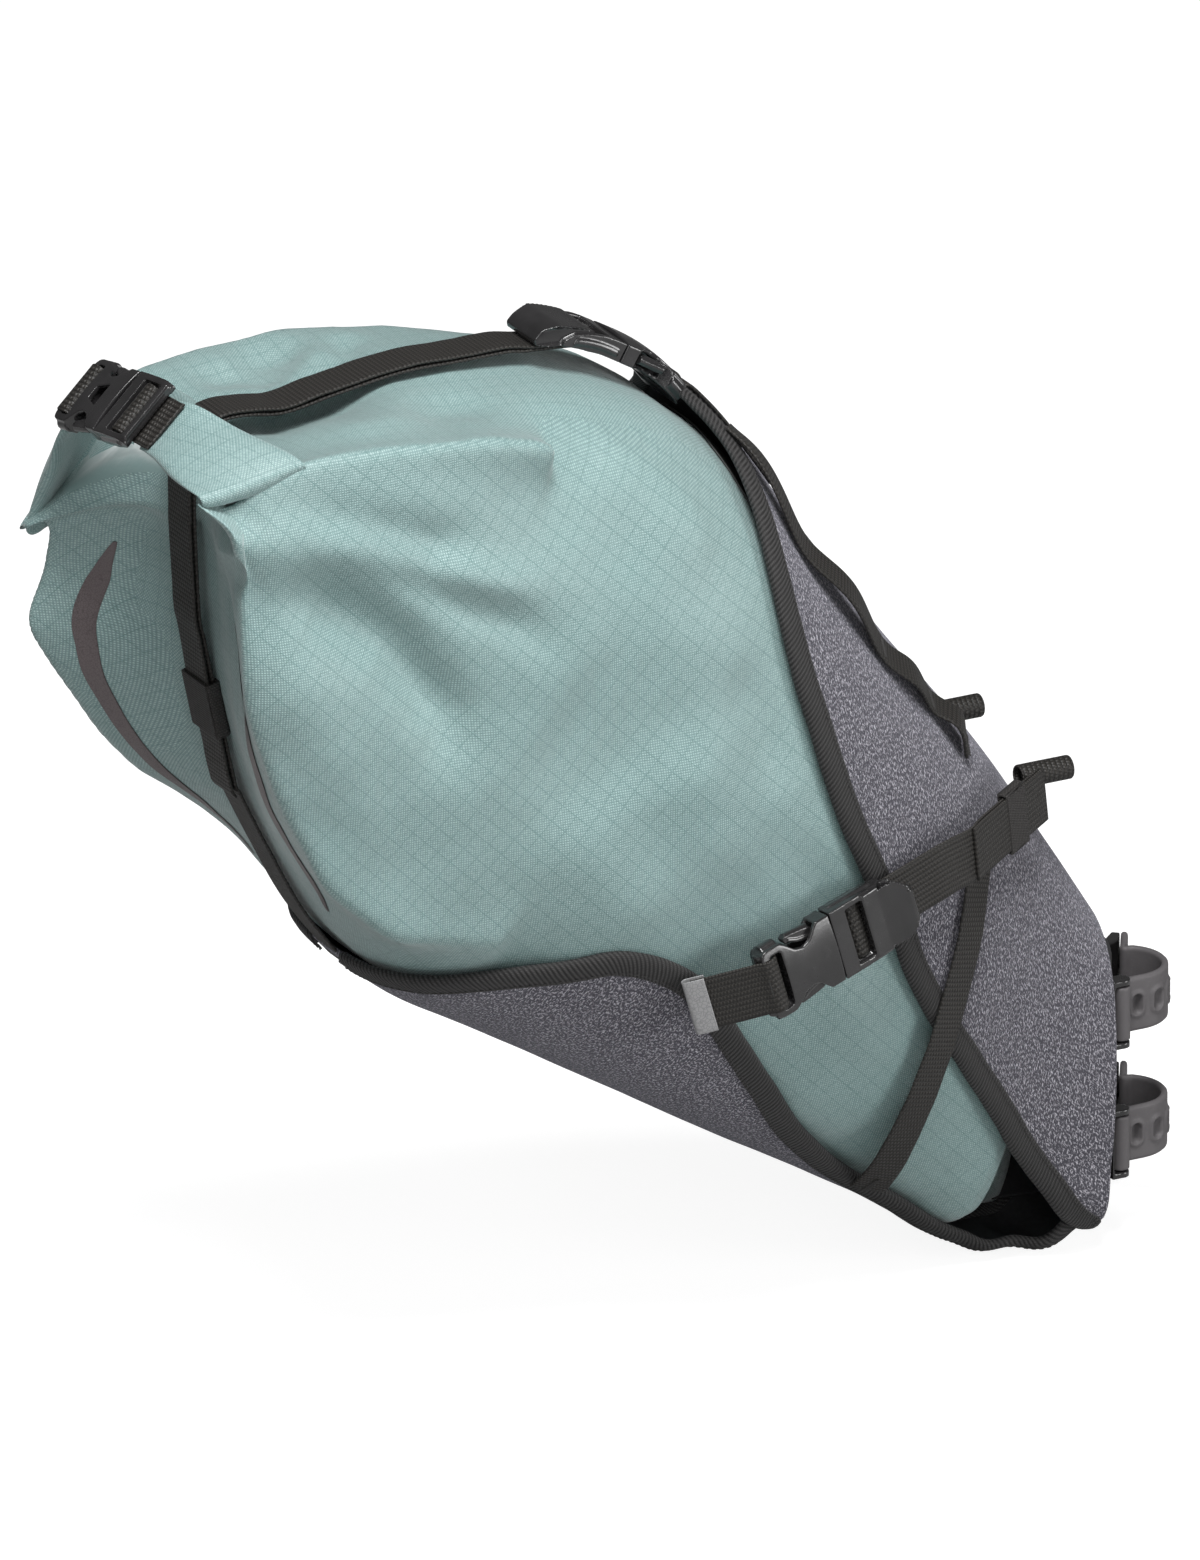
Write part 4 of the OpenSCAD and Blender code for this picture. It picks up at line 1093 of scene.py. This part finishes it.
def rounded(points, radii, steps=5):
    """A polygon with its corners rounded; radii is one number or one for each corner."""
    pts = [np.array(p, float) for p in points]
    out = []
    for i, p in enumerate(pts):
        r = radii if isinstance(radii, (int, float)) else radii[i]
        a, b = pts[i - 1] - p, pts[(i + 1) % len(pts)] - p
        la, lb = np.linalg.norm(a), np.linalg.norm(b)
        if r <= 0:
            out.append(tuple(p))
            continue
        ang = math.acos(max(-1, min(1, float(a @ b) / (la * lb))))
        cut = min(r / max(math.tan(ang / 2), 0.05), 0.48 * min(la, lb))
        s, e = p + a / la * cut, p + b / lb * cut
        for k in range(steps + 1):
            f = k / steps
            out.append(tuple((1 - f) ** 2 * s + 2 * f * (1 - f) * p + f * f * e))
    return out


def plate(outline, z0, z1, holes=()):
    """A flat closed solid in the plane, as (vertices, faces), made with a filled 2D curve."""
    cu = bpy.data.curves.new("outline", "CURVE")
    cu.dimensions, cu.fill_mode = "2D", "BOTH"
    cu.extrude = (z1 - z0) / 2
    for ring in (outline, *holes):
        sp = cu.splines.new("POLY")
        sp.points.add(len(ring) - 1)
        for q, (x, y) in zip(sp.points, ring):
            q.co = (x, y, 0, 1)
        sp.use_cyclic_u = True
    ob = in_scene("outline", cu)
    me = bpy.data.meshes.new_from_object(ob.evaluated_get(bpy.context.evaluated_depsgraph_get()))
    v = np.array([x.co for x in me.vertices]) + [0, 0, (z0 + z1) / 2]
    f = [tuple(x.vertices) for x in me.polygons]
    bpy.data.objects.remove(ob)
    bpy.data.curves.remove(cu)
    bpy.data.meshes.remove(me)
    return v, f


def rod(a, b, r, count=20):
    a, b = np.array(a, float), np.array(b, float)
    d = unit(b - a)
    s = unit(np.cross(d, [0.3, 0.2, 1.0]))
    w = np.cross(d, s)
    ang = np.linspace(0, 2 * math.pi, count, endpoint=False)
    ring = np.cos(ang)[:, None] * s + np.sin(ang)[:, None] * w
    v = np.concatenate([a + ring * r, b + ring * r])
    f = [(j, (j + 1) % count, count + (j + 1) % count, count + j) for j in range(count)]
    return v, f + [tuple(range(count))[::-1], tuple(range(count, 2 * count))]


def side_solid(profile, y0, y1):
    """A profile in X and Z, pushed from y0 to y1."""
    v, f = plate(profile, y0, y1)
    return v[:, [0, 2, 1]], f


def moulded(name, parts, at, body, replaces, voxel=0.42, rounds=3, bend=None, mirror=False,
            mat=None):
    """Joins overlapping solids into one moulded piece with soft edges."""
    bm = bmesh.new()
    for v, f in parts:
        vs = [bm.verts.new(x) for x in v]
        for face in f:
            try:
                bm.faces.new([vs[i] for i in face])
            except ValueError:
                pass
    bmesh.ops.remove_doubles(bm, verts=bm.verts, dist=0.0005)
    bmesh.ops.recalc_face_normals(bm, faces=bm.faces)
    me = bpy.data.meshes.new(name)
    bm.to_mesh(me)
    bm.free()
    ob = in_scene(name, me)
    mod = ob.modifiers.new("union", "REMESH")
    mod.mode, mod.voxel_size, mod.use_smooth_shade = "VOXEL", voxel, True
    mod = ob.modifiers.new("soft", "SMOOTH")
    mod.factor, mod.iterations = 0.5, rounds
    me2 = bpy.data.meshes.new_from_object(ob.evaluated_get(bpy.context.evaluated_depsgraph_get()))
    bpy.data.objects.remove(ob)
    v = np.zeros(len(me2.vertices) * 3)
    me2.vertices.foreach_get("co", v)
    v = v.reshape(-1, 3)
    if bend is not None:
        v = bend(v)
    v = moved(at, v)
    if mirror:
        v = mirrored(v)
        me2.flip_normals()
    me2.vertices.foreach_set("co", (v * MM).ravel())
    me2.materials.clear()
    me2.materials.append(mat or PLASTIC)
    me2.polygons.foreach_set("use_smooth", [True] * len(me2.polygons))
    me2.update()
    me2.name = name
    ob = in_scene(name, me2)
    return finish_piece(ob, body, replaces)


def sym(half):
    """A closed outline from its positive-Y half."""
    return list(half) + [(x, -y) for x, y in reversed(half)]


def female_parts(window):
    outline = rounded(sym([(-0.2, 15.9), (-7.0, 16.4), (-9.2, 14.4), (-12.6, 10.6), (-16.4, 9.4),
                           (-20.4, 10.6), (-24.4, 14.6), (-27.0, 16.6), (-37.2, 16.4)]),
                      [0.8, 1.6, 2, 4, 4, 4, 3, 3, 3.4, 3.4, 3, 3, 4, 4, 4, 2, 1.6, 0.8])
    slot_hole = rounded([(-33.2, -13.2), (-27.4, -13.2), (-27.4, 13.2), (-33.2, 13.2)], 1.4)
    holes = [slot_hole]
    if window:
        holes.append(rounded([(-20.5, -3.2), (-20.5, 3.2), (-11.5, 5.8), (-11.5, -5.8)], 0.8))
    tail = rounded(sym([(-22.5, 13.0), (-27.0, 16.6), (-37.2, 16.4)]), [1, 2.5, 3.4, 3.4, 2.5, 1])
    waist = rounded(sym([(-8, 6.0), (-23.5, 6.0)]), 1.0)
    parts = [plate(outline, 2.5, 4.4, holes), plate(outline, -4.4, -2.5, [slot_hole]),
             plate(tail, -3.6, 3.6, [slot_hole]), rod((-35.0, -15.0, 0), (-35.0, 15.0, 0), 3.3),
             plate(waist, -4.0, -1.9)]
    for s in (-1, 1):
        lo, hi = sorted((s * 13.9, s * 16.3))
        parts.append(plate([(-7.4, lo), (-0.2, lo), (-0.2, hi), (-7.4, hi)], -4.4, 4.4))
        parts.append(rod((-27, s * 15.1, 0), (-35, s * 15.0, 0), 3.2))
    return parts


def crowned(v):
    """Buckles swell a little across their middle."""
    v = v.copy()
    v[:, 2] += 1.3 * (1 - np.minimum((v[:, 1] / 16.5) ** 2, 1.2)) * np.sign(v[:, 2]).clip(0, 1) \
        * smooth(v[:, 2], 1.0, 3.0)
    return v


def top_bend(v):
    v = crowned(v)
    d = np.maximum(-v[:, 0] - 8, 0)
    v[:, 2] -= FEMALE_DROOP * d ** 2
    return v


def top_male_bend(v):
    v = v.copy()
    v[:, 2] -= MALE_DROOP * np.maximum(v[:, 0] - 6, 0) ** 2
    return v


def male_parts(long, block=False):
    end = 30.5 if long else 25.5
    parts = [plate(rounded(sym([(0.5, 16.3), (8.5, 16.4)]), [0.5, 1.5, 1.5, 0.5]), -2.7, 4.3)]
    for s in (-1, 1):
        prof = rounded([(0.5, -4.3), (end * 0.55, -4.1), (end - 1, -2.2), (end, 0.6),
                        (end - 4, 3.6), (end * 0.45, 4.2), (0.5, 4.3)], [0.5, 3, 2, 2, 3, 3, 0.5])
        lo, hi = sorted((s * 13.5, s * 16.5))
        parts.append(side_solid(prof, lo, hi))
        parts.append(rod((3.5, s * 14.6, -1.0), (end - 5.5, s * 14.8, 0.2), 2.6))
    parts.append(rod((13.6, -15, -0.8), (13.6, 15, -0.8), 1.7))
    if long:
        # The lifting tab of the ladder lock, flared outwards.
        corner = 2.5 if block else 6.5
        prof = rounded([(17.5, 0.2), (25, -0.6), (33, 0.6), (40.2, 3.4), (41.6, 5.6), (39.6, 8.0),
                        (33, 5.6), (26, 4.3), (17.5, 4.9)], [0.6, 4, 6, 1.8, 1.8, 1.8, 6, 5, 0.8])
        if block:
            prof = rounded([(17.5, -0.6), (26, -2.2), (34, -2.4), (40, -1.2), (42, 2.4), (40.6, 6.4),
                            (35, 8.2), (27, 6.6), (17.5, 5.0)], [0.6, 4, 4, 3, 3, 3, 5, 5, 0.8])
        tab = side_solid(prof, -15.4, 15.4)
        v = tab[0]
        # Its corners are rounded off, seen from above.
        lim = 15.4 - corner * smooth(v[:, 0], 33, 41) ** 1.5
        v[:, 1] = np.sign(v[:, 1]) * np.minimum(np.abs(v[:, 1]), lim)
        parts.append(tab)
        parts.append(rod((26.5, -15, -0.2), (26.5, 15, -0.2), 1.6))
        if not block:
            parts.append(rod((39.4, corner - 14.2, 5.9), (39.4, 14.2 - corner, 5.9), 2.2))
    else:
        parts.append(rod((end - 3.0, -15.5, 0.4), (end - 3.0, 15.5, 0.4), 2.6))
        parts.append(side_solid(rounded([(18.5, 0.2), (25.5, 1.0), (25.5, 3.2), (18.5, 2.0)], 0.6),
                                -14.5, 14.5))
    parts.append(plate([(-14.5, -2.6), (2, -2.6), (2, 2.6), (-14.5, 2.6)], -1.6, 1.6))
    return parts


def arm_parts(s):
    outer = [(4, 8.4), (4, 12.6), (-2, 13.0), (-8, 13.2), (-9.2, 14.6), (-13, 15.6), (-18, 16.3),
             (-22.0, 16.6), (-23.4, 15.4), (-22.6, 13.2), (-19.2, 12.6), (-14, 12.2), (-10.5, 11.2),
             (-8, 9.8), (-2, 9.2)]
    outline = rounded([(x, s * y) for x, y in outer], 1.0, 3)
    rib = [(-9.5, 9.8), (-13, 10.0), (-17.5, 11.4), (-21.4, 14.0), (-20.8, 14.8), (-16.5, 12.8),
           (-12.5, 11.9), (-9.0, 11.6)]
    return [plate(outline, -1.9, 1.9), plate([(x, s * y) for x, y in rib], -2.3, 2.3),
            rod((4, s * 10.5, -1.9), (4, s * 10.5, 1.9), 2.3),
            rod((-9.5, s * 14.3, 0), (-21.8, s * 15.6, 0), 1.75)]


BUCKLES = [
    ("side_right", SIDE, False, "side_buckle_right", "side_female_right", "side_male_right",
     (("side_arm_top_right", 1), ("side_arm_low_right", -1)), True),
    ("side_left", SIDE, True, "side_buckle_left", "side_female_left", "side_male_left",
     (("side_arm_top_left", 1), ("side_arm_low_left", -1)), True),
    ("top", TOP, False, "top_buckle", "top_female", "top_male",
     (("top_arm_right", 1), ("top_arm_left", -1)), True),
    ("roll", ROLL, False, "roll_buckle", "roll_female", "roll_male",
     (("roll_arm_front", 1), ("roll_arm_rear", -1)), False)]
for key, at, mirror, body, female, male, arms, long in BUCKLES:
    moulded(key + "_receiver", female_parts(not long), at, "bag", female,
            bend=top_bend if key == "top" else crowned, mirror=mirror)
    moulded(key + "_insert", male_parts(long, key == "top"), at, body, male,
            bend=top_male_bend if key == "top" else None, mirror=mirror)
    for arm, s in arms:
        moulded(key + "_spring_" + arm.split("_")[-2 if "arm_" in arm and key.startswith("side") else -1],
                arm_parts(s), at, arm, arm, voxel=0.3, mirror=mirror)


def local_band(name, points, at, width, mat, body, replaces, mirror=False, thick=1.3, step=1.2, **more):
    p = np.asarray(points, float)
    fine = spaced(p, 1.5)
    n = plane_outs(fine)
    q, o = moved(at, fine), n @ at[:3, :3].T
    if mirror:
        q, o = mirrored(q), mirrored(o)
    return band(name, q, o, width, thick, mat, step, body=body, replaces=replaces, **more)


BAR_WRAP = [[-28.5, 0, -2.6], [-29.3, 0, 1], [-31, 0, 4.6], [-34, 0, 5.6], [-36.6, 0, 5.0],
            [-39, 0, 2.2]]
TURN = [[9.8, 0, -2.2], [10.0, 0, -0.8], [10.9, 0, 1.0], [12.6, 0, 1.7], [15, 0, 1.2], [18, 0, -1.0],
        [19, 0, -1.9]]
for side, mirror in SIDES:
    local_band("side_webbing_turn_" + side, TURN, SIDE, 25, WEBBING, "side_buckle_" + side,
               "side_turn_" + side, mirror)
    local_band("side_buckle_tab_" + side, BAR_WRAP + [[-50, 0, -5], [-63, 0, -14]], SIDE, 25, WEBBING,
               "bag", "side_tab_" + side, mirror, thick=1.5)
local_band("top_webbing_turn", [[x, 0, z - MALE_DROOP * (x - 6) ** 2] for x, _, z in TURN], TOP, 20,
           NARROW, "top_buckle", "top_turn")
RISE = [[9.4, 0, -2.4], [9.8, 0, 0.8], [11.4, 0, 2.9], [13.6, 0, 3.3], [16, 0, 2.4], [18.2, 0, -0.4],
        [20.4, 0, -3.0], [24, 0, -3.9], [28, 0, -5.6], [32, 0, -6.0]]
local_band("roll_webbing", RISE, ROLL, 25, WEBBING, "roll_buckle", "roll_web", thick=1.3)
local_band("roll_webbing_far", BAR_WRAP + [[-42, 0, -1.0], [-45, 0, -4.0], [-50, 0, -6.5]], ROLL, 25,
           WEBBING, "bag", "roll_tab", thick=1.3)

# Reflective label folded round the end of each tab.
TAB_COS, TAB_SIN = math.cos(math.radians(-34.7)), math.sin(math.radians(-34.7))
LABEL_AT = SIDE @ np.array([[TAB_COS, 0, TAB_SIN, -63], [0, 1, 0, 0], [-TAB_SIN, 0, TAB_COS, -14],
                            [0, 0, 0, 1]])
for side, mirror in SIDES:
    route = [[6, 0, 1.6], [2, 0, 1.7], [-2, 0, 1.6], [-3.3, 0, 0.9], [-3.6, 0, 0], [-3.3, 0, -0.9],
             [-2, 0, -1.6], [2, 0, -1.7], [6, 0, -1.6]]
    local_band("reflective_fold_" + side, route, LABEL_AT, 26, LABEL, "bag", "side_label_" + side,
               mirror, thick=0.5, step=0.6, slot="reflective_label")

# ---------------------------------------------------------------- side straps, eyes and keepers
def keeper(name, at, size, width, side_of, **more):
    """An elastic loop round a strap: half across, half up and corner radius, in its own axes."""
    w, h, corner = size
    pts = np.array([(0, x, y) for x, y in rounded([(-w, -h), (w, -h), (w, h), (-w, h)], corner, 5)])
    tang = np.gradient(np.vstack([pts[-1:], pts, pts[:1]]), axis=0)[1:-1]
    outs = unit(np.cross(tang, [1, 0, 0]))
    if (outs * pts).sum() < 0:
        outs = -outs
    band(name, side_of(moved(at, pts)), side_of(outs @ at[:3, :3].T), width, 1.2, ELASTIC,
         step=0.9, slot="elastic", closed=True, **more)


CHANNEL_Z = -3.9
straight = [moved(SIDE, [x, 0, CHANNEL_Z]) for x in (12, 30, 48, 66)]
side_route = np.array(straight + [np.array(q, float) for q in SIDE_END])
side_outs = np.array([SIDE_OUT] * 4 + [RAIL_OUT] * 3, float)
loop_dir = unit(np.array(SIDE_END[2], float) - SIDE_END[1])
for side, mirror in SIDES:
    f = mirrored if mirror else as_is
    band("side_strap_webbing_" + side, f(side_route), f(side_outs), 25, 1.5, WEBBING,
         replaces="side_strap_" + side, cols=20, wobble=0.25)
    # Second layer: the strap comes back through the eye and is sewn down.
    back = side_route[[4, 5, 6]] + np.array(RAIL_OUT) * 1.7
    band("side_strap_return_" + side, f(back), f(side_outs[4:7]), 25, 1.4, WEBBING, cols=20)
    # Eye for the saddle rail: one turn of webbing round the rail.
    ang = np.radians(np.arange(0, 360, 12))
    ring = np.stack([np.zeros_like(ang), np.cos(ang) * 4.55, np.sin(ang) * 4.55], -1)
    outs = np.stack([np.zeros_like(ang), np.cos(ang), np.sin(ang)], -1)
    centre = np.array(LOOP_AT, float)
    band("rail_eye_" + side, f(ring + centre), f(outs), 25, 1.35, WEBBING, step=0.9,
         replaces="rail_loop_" + side, cols=20, closed=True)
    keeper("side_keeper_band_" + side, axes(KEEPER_AT, loop_dir, RAIL_OUT), (13.7, 2.1, 1.4), 15, f,
           body="side_keeper_" + side, replaces="keeper_" + side, cols=12)

# ---------------------------------------------------------------- tail strap
TOP_CHANNEL = [moved(TOP, [x, 0, z]).tolist()
               for x, z in ((43, -17.0), (36, -13.6), (28, -9.6), (20, -6.0), (12, -4.1))]


def shifted(points, d):
    p = np.asarray(points, float)
    return p + plane_outs(p) * d


TAIL_START = [skin(u, 270.0, 3.9).tolist() for u in (5.9, 6.02, 6.14)]
tail_route = spaced(TAIL_START + TAIL_UP[2:] + TAIL_TOP + TOP_CHANNEL, 3.0)
band("tail_strap_webbing", tail_route, plane_outs(tail_route), 20, 1.4, NARROW,
     replaces="tail_strap", cols=16)
free = spaced(shifted(TAIL_UP[4:] + TAIL_TOP + TOP_CHANNEL[:1], 2.3)[:-1].tolist()
              + [moved(TOP, [x, 0, z]).tolist() for x, z in ((40, -13.5), (36, -11.8), (32, -10.0))], 3.0)
band("tail_strap_end", free, plane_outs(free), 20, 1.4, NARROW, replaces="tail_free_end",
     cols=16, wobble=0.5, seed=4.0)
mid = (np.array(TAIL_UP[5], float) + TAIL_UP[6]) / 2
direction = unit(np.array(TAIL_UP[6], float) - TAIL_UP[5])
out = np.cross(direction, [0, 1, 0])
keeper("tail_keeper_band", axes(mid + out * 1.2, direction, out), (11.2, 3.0, 1.6), 26, as_is,
       body="tail_keeper", replaces="tail_keeper", cols=16)
anchor = [moved(TOP, [x, 0, z - FEMALE_DROOP * max(-x - 8, 0) ** 2]).tolist() for x, _, z in BAR_WRAP] \
    + [skin(u, 90.0, TRIM_OFF + 1.6 + float(lift(u, 90.0))).tolist() for u in (4.86, 4.7, 4.5, 4.25, 4.0)]
anchor = spaced(anchor, 1.5)
band("top_anchor_webbing", anchor, plane_outs(anchor), 20, 1.5, NARROW, replaces="top_anchor")

# ---------------------------------------------------------------- front: pad, rubber straps
def rounded_box(x0, x1, hw, z0, z1, r):
    """A plate across X with rounded outline corners."""
    v, f = plate(rounded([(-hw, z0), (hw, z0), (hw, z1), (-hw, z1)], r, 6), x0, x1)
    return v[:, [2, 0, 1]], f


ID = np.eye(4)
moulded("front_panel_pad", [rounded_box(-25.5, -20.8, 27.8, -53.8, 65.8, 9)], ID, "bag", "front_panel",
        voxel=0.9, rounds=6, mat=LINING)
grip = [rounded_box(-19.2, -17.0, 11.9, -49.8, 61.8, 4)]
for z in np.arange(-45, 60, 5):
    grip.append(rod((-17.4, -10.5, z), (-17.4, 10.5, z), 1.0))
moulded("post_grip_pad", grip, ID, "bag", "grip_pad", voxel=0.5, rounds=2, mat=RUBBER)

ROOT = np.array([-14.6, -23.5])
TAB_WAY = np.array([math.cos(math.radians(60)), math.sin(math.radians(60))])


def root_way(s):
    return ROOT + s * TAB_WAY


def strap_line():
    """Centre line of a rubber strap, from its root round the post to the end of its tab."""
    r = POST_R + STRAP_T / 2
    p = [(-14.6, -r), (-9, -r), (-4, -r)]
    p += [(r * math.cos(math.radians(a)), r * math.sin(math.radians(a))) for a in range(-90, 54, 4)]
    a, b = root_way(44.0), root_way(50.0)
    p += [(0.5 * (p[-1][0] + a[0]), 0.5 * (p[-1][1] + a[1])), tuple(a), tuple(b), tuple(root_way(60)),
          tuple(root_way(69))]
    return p


for key, z in (("upper", 30.0), ("lower", -30.0)):
    line2 = np.array(strap_line())
    fine = spaced(np.hstack([line2, np.full((len(line2), 1), z)]), 0.8)
    d = unit(np.gradient(fine, axis=0))
    o = np.cross(d, [0, 0, 1.0])
    s = lengths(fine)
    cols = 33
    y = np.linspace(-1, 1, cols)
    # Full width on the band; the tab narrows to its rounded end.
    half = 12.5 - 4.5 * smooth(s, s[-1] - 12, s[-1]) ** 2
    # Holes, counted from the strap's nearest point beside the post.
    beside_post = s[np.argmin(np.abs(fine[:, 0]) + (fine[:, 1] > 0) * 99)]
    centres = [beside_post + x for x in (-4.0, 6.6, 16.6, 26.6, 36.6)]
    zz = half[:, None] * y
    across = np.array([0, 0, 1.0]) * zz[..., None]
    outer = fine[:, None] + o[:, None] * 1.5 + across
    inner = fine[:, None] - o[:, None] * 1.5 + across
    rim = np.zeros_like(zz)
    for cc in centres:
        dd = np.hypot(s[:, None] - cc, np.maximum(np.abs(zz) - 2.2, 0))
        rim += 1.0 * np.exp(-((dd - 3.1) / 0.8) ** 2) - 2.6 * (1 - smooth(dd, 1.6, 2.4))
    edge = -0.9 * smooth(np.abs(y), 0.92, 1.0)[None]
    outer = outer + o[:, None] * (rim + edge)[..., None]
    inner = inner - o[:, None] * (edge)[..., None]
    g = np.concatenate([outer, inner[:, ::-1]], axis=1)
    uv = np.zeros((len(g), g.shape[1] + 1, 2))
    uv[..., 0] = np.linspace(0, 50, g.shape[1] + 1)
    uv[..., 1] = s[:, None]
    verts, faces, uvs = tube_mesh(g, uv)
    ob = mesh_object("post_band_" + key, verts, faces, RUBBER, uvs, "post_strap_" + key,
                     "strap_" + key)
    fix_normals(ob)
    knuckle = [rod((ROOT[0], ROOT[1], z - 12.3), (ROOT[0], ROOT[1], z + 12.3), 4.1),
               plate([(-17.4, -23.5), (-11.8, -23.5), (-11.0, -15.9), (-15.4, -15.9)],
                     z - 12.3, z + 12.3)]
    moulded("post_band_root_" + key, knuckle, ID, "post_strap_" + key, (), voxel=0.6, rounds=3,
            mat=RUBBER)
    # Moulded fitting behind the strap: plate, lugs, far arm and stud.
    base = [rounded_box(-20.3, -19.2, 25.0, z - 15.8, z + 15.8, 2.5)]
    base[0][0][:, 1] = np.where(base[0][0][:, 1] < 0, base[0][0][:, 1] * 27.4 / 25, base[0][0][:, 1])
    for sgn in (-1, 1):
        zl = z + sgn * 14.4
        base.append(rod((ROOT[0], ROOT[1], zl - 1.4), (ROOT[0], ROOT[1], zl + 1.4), 3.9))
        base.append(plate([(-20.2, -27.2), (-14.6, -27.2), (-14.6, -19.8), (-20.2, -19.8)],
                          zl - 1.4, zl + 1.4))
    base.append(plate(rounded([(-20.2, 19.8), (2.9, 19.8), (9.0, 22.6), (14.2, 30), (11.1, 32.4),
                               (3, 24.8), (-20.2, 24.8)], [0.5, 4, 4, 1, 1, 4, 0.5]),
                      z - 12.3, z + 12.3))
    stud = root_way(57.0)
    nrm2 = np.array([-TAB_WAY[1], TAB_WAY[0]])
    a1, b1 = stud + nrm2 * 3.6, stud - nrm2 * 3.4
    base.append(rod((*a1, z), (*b1, z), 2.5))
    base.append(rod((*(stud - nrm2 * 2.3), z), (*b1, z), 3.2))
    moulded("post_fitting_" + key, base, ID, "bag", "strap_mount_" + key, voxel=0.55, rounds=2)

# ---------------------------------------------------------------- stitching
stitches("edge_stitching", stitch_rows, size=(2.4, 0.5, 0.45), pitch=3.4)

# ---------------------------------------------------------------- floor, light and camera
def studio():
    lo, hi = CAD_BOX
    centre = (lo + hi) / 2
    view = np.array([0.435, 0.819, -0.375])
    look = Vector((-0.255, 0.0, 0.1745))
    cam = in_scene("camera", bpy.data.cameras.new("camera"))
    back = -Vector(view.tolist()).normalized()
    cam.location = look + back * 16.0
    cam.rotation_mode = "QUATERNION"
    cam.rotation_quaternion = (-back).to_track_quat("-Z", "Y")
    cam.data.sensor_fit = "VERTICAL"
    cam.data.sensor_height = 36
    cam.data.lens = 36 / (0.663 / 16.0)
    cam.data.clip_start, cam.data.clip_end = 1, 100
    bpy.context.scene.camera = cam

    me = bpy.data.meshes.new("floor")
    bm = bmesh.new()
    bmesh.ops.create_grid(bm, x_segments=1, y_segments=1, size=12)
    bm.to_mesh(me)
    bm.free()
    floor = bpy.data.objects.new("floor", me)
    floor.location = (centre.x, 0, lo.z - 0.006)
    bpy.context.scene.collection.objects.link(floor)
    m, t, s = material("pale_floor")
    setup(s, Base_Color=(0.42, 0.42, 0.42, 1), Roughness=0.9, Emission_Color=(1, 1, 1, 1))
    path = t.nodes.new("ShaderNodeLightPath")
    t.links.new(maths(t, "MULTIPLY", path.outputs["Is Camera Ray"], 0.88), s.inputs["Emission Strength"])
    me.materials.append(m)

    def area(name, where, size, power_w, aim=centre):
        li = bpy.data.lights.new(name, "AREA")
        li.shape, li.size, li.energy = "SQUARE", size, power_w
        ob = bpy.data.objects.new(name, li)
        ob.location = Vector(where)
        ob.rotation_mode = "QUATERNION"
        ob.rotation_quaternion = (Vector(aim) - ob.location).to_track_quat("-Z", "Y")
        bpy.context.scene.collection.objects.link(ob)

    area("key", (-0.60, -0.80, 2.10), 0.75, 52)
    area("left", (-1.75, -0.95, 1.45), 0.6, 5)
    area("front", (-1.0, -2.0, 0.9), 0.8, 8)
    area("right", (1.25, -1.6, 0.35), 0.8, 17)
    world = bpy.data.worlds.new("studio")
    world.use_nodes = True
    world.node_tree.nodes["Background"].inputs[0].default_value = (1, 1, 1, 1)
    world.node_tree.nodes["Background"].inputs[1].default_value = 0.10
    bpy.context.scene.world = world
    bpy.context.scene.view_settings.view_transform = "Standard"


studio()
